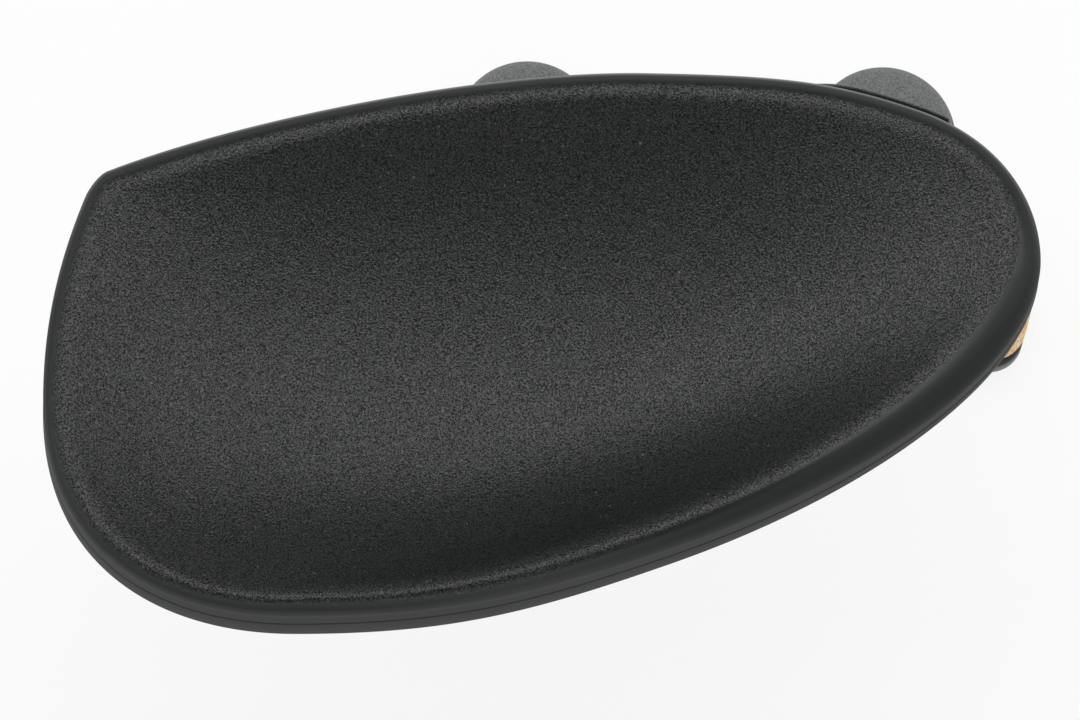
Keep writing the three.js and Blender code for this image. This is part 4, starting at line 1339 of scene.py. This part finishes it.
@dataclass
class Foot:
    """A tilting foot with its ball socket, its cork and its ball stud."""

    post: Post
    reach_out: float = 14.0
    reach_in: float = 12.0
    inner_end: float = 21.0
    outer_end: float = 10.4
    corner: float = 3.0
    bottom: float = 47.2
    top: float = 51.4
    hub_radius: float = 4.6
    hub_top: float = 53.0
    hub_fillet: float = 0.6
    hub_edge: float = 0.5
    ball_height: float = 50.9
    socket_radius: float = 3.1
    ball_radius: float = 2.8
    cork_low: float = 45.0
    cork_top: float = 47.0

    def outline(self) -> Array:
        """The foot's flat outline."""
        return self.post.outline([
            (-self.reach_in, self.inner_end, self.corner), (self.reach_out, self.inner_end, self.corner),
            (self.reach_out, self.outer_end, self.corner), (-self.reach_in, self.outer_end, self.corner),
        ])

    def body(self) -> bpy.types.Mesh:
        """The plate with eased edges, the hub with a small fillet at its foot, and the ball's socket."""
        x, y = self.post.ball
        plate = slab(self.outline(), rounded_edges(self.bottom, self.top, 0.4, 0.9))
        round_in, round_out = self.hub_fillet, self.hub_edge
        foot = self.hub_radius + round_in
        hub = np.vstack([
            [[2.0, self.bottom + 0.6], [foot, self.bottom + 0.6]],
            arc((foot, self.top + round_in), round_in, -90, -180),
            arc((self.hub_radius - round_out, self.hub_top - round_out), round_out, 0, 90),
            [[2.0, self.hub_top]],
        ])
        ball = arc((0.0, self.ball_height), self.socket_radius, -88, 88, 40)
        return combined("foot", plate, [(Join.ADD, turned(x, y, hub, 96)), (Join.CUT, turned(x, y, ball, 96))])

    def stud(self) -> Surface:
        """The ball stud: a ball, a narrow neck with a fillet, and a shank up into the bracket."""
        x, y = self.post.ball
        ball = arc((0.0, self.ball_height), self.ball_radius, -88, 61, 40)
        shank = np.array([[1.3, 53.55], [1.3, 53.9], [1.5, 53.9], [1.5, 56.3], [1.2, 56.6], [0.6, 56.6]])
        return turned(x, y, np.vstack([ball, shank]), 64)

    def build(self, finishes: Finishes) -> None:
        """Makes the foot, its cork and its ball stud."""
        side = self.post.side
        body = side + "_foot"
        add_piece(side + "_tilting_foot", self.body(), finishes.jaw, body, "upper_foot_" + side)
        pad = slab(self.outline(), rounded_edges(self.cork_low, self.cork_top, 0.6, 0.15))
        add_piece(side + "_foot_pad", mesh_of("pad", pad), finishes.cork, body, "foot_cork_" + side)
        add_piece(side + "_ball_stud", mesh_of("stud", self.stud()), finishes.steel, "cup", "foot_ball_stud_" + side)


@dataclass
class ClampScrew:
    """An M5 socket-head screw with its washer, its push-on ring and the brass insert in the post."""

    post: Post
    radius: float = 2.5
    root: float = 2.04
    pitch: float = 0.8
    head_radius: float = 4.25
    head_low: float = 0.5
    head_high: float = 5.0
    socket_across: float = 4.0
    socket_depth: float = 2.6
    thread_low: float = 28.3
    tip: float = 50.3
    hole_radius: float = 2.8
    knurls: int = 40
    washer_radius: float = 4.3
    washer_low: float = 5.3
    washer_high: float = 6.3
    washer_edge: float = 0.12
    ring_radius: float = 4.0
    ring_low: float = 36.0
    ring_high: float = 37.0
    ring_teeth: int = 6
    insert_radius: float = 4.0
    insert_low: float = 42.5
    insert_knurls: int = 36

    def screw(self) -> Surface:
        """Rings from the socket's floor over the knurled head, the plain shank and the thread."""
        around = 160
        turn = directions(around)
        hexagonal = hexagon(self.socket_across, around)
        knurl = 0.07 * (np.cos(self.knurls * turn) - 1)
        low, high, head = self.head_low, self.head_high, self.head_radius
        plain = np.ones(around)
        rows = [
            (0.5 * plain, low + self.socket_depth + 0.6), (hexagonal * 0.985, low + self.socket_depth),
            (hexagonal, low + 0.32), (2.42 * plain, low), ((head - 0.55) * plain, low),
            ((head - 0.2) * plain, low + 0.12), (head - 0.02 + 0.2 * knurl, low + 0.4), (head + knurl, low + 0.7),
            (head + knurl, high - 0.55), (head - 0.02 + 0.2 * knurl, high - 0.35), ((head - 0.16) * plain, high),
            ((self.radius + 0.3) * plain, high), (self.radius * plain, high + 0.3),
            (self.radius * plain, self.thread_low - 0.1),
        ]
        radii = np.stack([row[0] for row in rows])
        levels = np.array([row[1] for row in rows])
        thread, heights = threaded(self.radius, self.root, self.pitch, self.thread_low, self.tip - 0.7, around)
        radii = np.concatenate([radii, thread, [(self.radius - 0.15) * plain, 1.95 * plain]])
        levels = np.concatenate([levels, heights, [self.tip - 0.6, self.tip]])
        x, y = self.post.x, self.post.y
        rings = turned_rings(x, y, radii, levels, around)
        return ring_stack(rings, np.array([x, y, levels[0] + 0.05]), np.array([x, y, self.tip]))

    def ring(self, rows: list[tuple[Array | float, float]], around: int) -> Surface:
        """A ring-shaped piece from rows of radius and height that close on themselves."""
        radii = np.stack([np.broadcast_to(row[0], (around,)) for row in rows])
        heights = np.array([row[1] for row in rows])
        return closed_loop(turned_rings(self.post.x, self.post.y, radii, heights, around))

    def washer(self) -> Surface:
        """A flat washer with its edges just broken."""
        inner, outer, edge = self.hole_radius, self.washer_radius, self.washer_edge
        low, high = self.washer_low, self.washer_high
        return self.ring([(inner + edge, low), (outer - edge, low), (outer, low + edge), (outer, high - edge),
                          (outer - edge, high), (inner + edge, high), (inner, high - edge), (inner, low + edge)], 96)

    def push_ring(self) -> Surface:
        """A push-on ring: a thin band, dished towards its inner teeth, with a slot between each two."""
        around = 180
        turn = directions(around)
        slot = 0.28 * (1 + np.tanh(6 * np.cos(self.ring_teeth * turn)))
        inner = self.hole_radius + slot
        outer, low, high, edge = self.ring_radius, self.ring_low, self.ring_high, 0.1
        return self.ring([(inner, high - 0.45), (outer - 0.5, low + 0.15), (outer - edge, low), (outer, low + edge),
                          (outer, low + 0.5), (outer - 0.1, low + 0.62), (outer - 0.45, low + 0.62), (inner, high)],
                         around)

    def insert(self) -> Surface:
        """A brass insert: two knurled bands with a groove between them, and a thread inside."""
        around = 144
        turn = directions(around)
        tooth = self.insert_radius + 0.09 * (np.cos(self.insert_knurls * turn) - 1)
        low, high = self.insert_low, self.post.insert_top
        outer = [(3.75, low), (3.9, low + 0.15), (3.9, low + 0.5), (tooth, low + 0.62), (tooth, low + 4.0),
                 (3.6, low + 4.15), (3.6, high - 4.15), (tooth, high - 4.0), (tooth, high - 0.62), (3.9, high - 0.5),
                 (3.9, high - 0.15), (3.75, high)]
        thread, rows = threaded(self.hole_radius + 0.4, self.hole_radius, self.pitch, low + 0.3, high - 0.3, around)
        return self.ring(outer + [(3.25, high)] + list(zip(thread[::-1], rows[::-1])) + [(3.25, low)], around)

    def build(self, finishes: Finishes) -> None:
        """Makes the screw and its fittings."""
        side = self.post.side
        add_piece(side + "_socket_screw", mesh_of("screw", self.screw()), finishes.steel, side + "_screw",
                  "clamp_screw_" + side)
        for name, surface, node, body, finish, slot in (
            ("_flat_washer", self.washer(), "screw_washer_", side + "_jaw", finishes.steel, "steel"),
            ("_push_ring", self.push_ring(), "screw_retainer_", side + "_jaw", finishes.steel, "steel"),
            ("_brass_insert", self.insert(), "thread_insert_", "cup", finishes.brass, "brass"),
        ):
            add_piece(side + name, mesh_of("fitting", surface), finish, body, node + side, sharp=30)


@dataclass
class Chinrest:
    """The whole chinrest: the cup, the bracket, the small screws and the two clamps."""

    cup: CupForm = field(default_factory=CupForm)
    posts: list[Post] = field(default_factory=lambda: [Post("left", *LEFT_POST), Post("right", *RIGHT_POST)])

    def screws(self) -> list[SmallScrew]:
        """The small screws, each where its CAD node stands."""
        found = []
        for node in [f"{kind}_screw_{number}" for kind in ("bracket", "shell") for number in range(1, 5)]:
            low, high = cup_box(node)
            x, y = (low[:2] + high[:2]) / 2
            found.append(SmallScrew(node, x, y, low[2], high[2] - low[2]))
        return found

    def build(self, finishes: Finishes) -> None:
        """Builds every piece in order."""
        screws = self.screws()
        shell = UnderShell(self.cup)
        ChinPlate(self.cup).build(finishes, screws)
        shell.build(finishes, screws, self.posts)
        ClampBracket(shell, self.posts).build(finishes, screws)
        for piece in screws + [kind(post) for post in self.posts for kind in (Jaw, Foot, ClampScrew)]:
            piece.build(finishes)


# ---- Studio


@dataclass(frozen=True)
class Studio:
    """A white table, soft lamps and the camera at the photograph's angle."""

    target: tuple[float, float, float] = (0.0, 0.0, 73.3)  # the point seen at the photograph's pixel (540, 345)
    pixel: float = 0.1125  # millimetres a pixel at the target
    rows_above_middle: float = 15.0
    tilt: float = 10.0
    distance: float = 1000.0
    half_frame: float = 540.0
    sensor: float = 36.0
    clip: tuple[float, float] = (0.05, 20.0)  # metres
    lamp_aim: float = 0.07  # the height, in metres, that the lamps face
    table_colour: str = "#f2f2f2"
    table_roughness: float = 0.9
    table_glow: float = 0.85
    table_half: float = 3.0  # metres
    table_top: float = -0.0004  # just under the jaws, in metres
    sky_stops: tuple = ((0.0, "#f4f4f4"), (0.1, "#f4f4f4"), (0.28, "#848484"), (0.6, "#868686"), (1.0, "#868686"))

    def camera(self) -> None:
        """Places the camera above the cup, leaning to the side away from the player, and aims it."""
        tilt = math.radians(self.tilt)
        back = np.array([0.0, -math.sin(tilt), math.cos(tilt)])
        up = np.array([0.0, math.cos(tilt), math.sin(tilt)])
        aim = np.array(self.target) - up * self.rows_above_middle * self.pixel
        data = bpy.data.cameras.new("camera")
        data.sensor_width = self.sensor
        data.lens = self.sensor * self.distance / (2 * self.half_frame * self.pixel)
        data.clip_start, data.clip_end = self.clip
        item = placed("camera", data)
        item.location = (aim + back * self.distance + SHIFT) * METRES
        item.rotation_euler = (tilt, 0.0, 0.0)
        bpy.context.scene.camera = item

    def lamp(self, name: str, place: tuple[float, float, float], size: tuple[float, float], power: float) -> None:
        """An area lamp that faces the cup.

        Args:
            name: the lamp's name.
            place: where it hangs, in metres from the cup's middle.
            size: its width and height, in metres.
            power: its power in watts.
        """
        data = bpy.data.lights.new(name, "AREA")
        data.shape, data.size, data.size_y, data.energy = "RECTANGLE", size[0], size[1], power
        item = placed(name, data)
        item.location = Vector(place) + Vector((0, 0, self.lamp_aim))
        item.rotation_euler = (-Vector(place)).to_track_quat("-Z", "Y").to_euler()

    def floor(self) -> None:
        """A wide white table just under the jaws, which a camera below it sees through."""
        mesh = bpy.data.meshes.new("table")
        half, down = self.table_half, self.table_top
        mesh.from_pydata([(-half, -half, down), (half, -half, down), (half, half, down), (-half, half, down)], [],
                         [(0, 1, 2, 3)])
        item = placed("table", mesh)
        material = bpy.data.materials.new("white_table")
        material.use_nodes = True
        tree = material.node_tree
        shader = tree.nodes["Principled BSDF"]
        shader.inputs["Base Color"].default_value = linear(self.table_colour)
        shader.inputs["Roughness"].default_value = self.table_roughness
        glow = add_node(tree, "Emission", color=(1.0, 1.0, 1.0, 1.0), strength=1.0)
        path = add_node(tree, "LightPath")
        seen = path.outputs["Is Camera Ray"]
        for ray in ("Is Glossy Ray", "Is Transmission Ray"):
            seen = add_node(tree, "Math", {"operation": "MAXIMUM"}, value=seen,
                            value_1=path.outputs[ray]).outputs["Value"]
        share = add_node(tree, "Math", {"operation": "MULTIPLY"}, value=seen, value_1=self.table_glow)
        mix = add_node(tree, "MixShader", fac=share.outputs["Value"], shader=shader.outputs["BSDF"],
                       shader_1=glow.outputs["Emission"])
        behind = add_node(tree, "NewGeometry").outputs["Backfacing"]
        hidden = add_node(tree, "Math", {"operation": "MULTIPLY"}, value=behind, value_1=path.outputs["Is Camera Ray"])
        clear = add_node(tree, "BsdfTransparent")
        whole = add_node(tree, "MixShader", fac=hidden.outputs["Value"], shader=mix.outputs["Shader"],
                         shader_1=clear.outputs["BSDF"])
        tree.links.new(whole.outputs["Shader"], tree.nodes["Material Output"].inputs["Surface"])
        mesh.materials.append(material)

    def sky(self) -> None:
        """A world that is white round the horizon, as a lit backdrop is, and dimmer overhead, round the lamps."""
        world = bpy.data.worlds.new("studio")
        bpy.context.scene.world = world
        world.use_nodes = True
        tree = world.node_tree
        back = tree.nodes["Background"]
        direction = add_node(tree, "TexCoord").outputs["Generated"]
        height = add_node(tree, "SeparateXYZ", vector=direction).outputs["Z"]
        shade = add_node(tree, "ValToRGB", {"stops": self.sky_stops}, fac=height)
        wire(tree, back, color=shade.outputs["Color"])
        back.inputs["Strength"].default_value = 1.0

    def build(self) -> None:
        """Sets the whole studio up."""
        self.camera()
        self.floor()
        self.sky()
        self.lamp("softbox_high", place=(0.0, 0.40, 0.80), size=(1.9, 0.44), power=9.0)
        self.lamp("softbox_left", place=(-0.80, 0.0, 0.40), size=(0.8, 0.5), power=1.0)
        self.lamp("softbox_right", place=(0.80, 0.0, 0.40), size=(0.8, 0.5), power=1.0)
        self.lamp("softbox_front", place=(0.0, -0.80, 0.40), size=(1.6, 0.55), power=2.8)
        bpy.context.scene.view_settings.view_transform = "Standard"


def main() -> None:
    """Builds the chinrest's pieces and the studio in order."""
    logging.basicConfig(level=logging.INFO, format="%(message)s")
    finishes = Finishes()
    Chinrest().build(finishes)
    Studio().build()


if __name__ == "__main__":
    main()
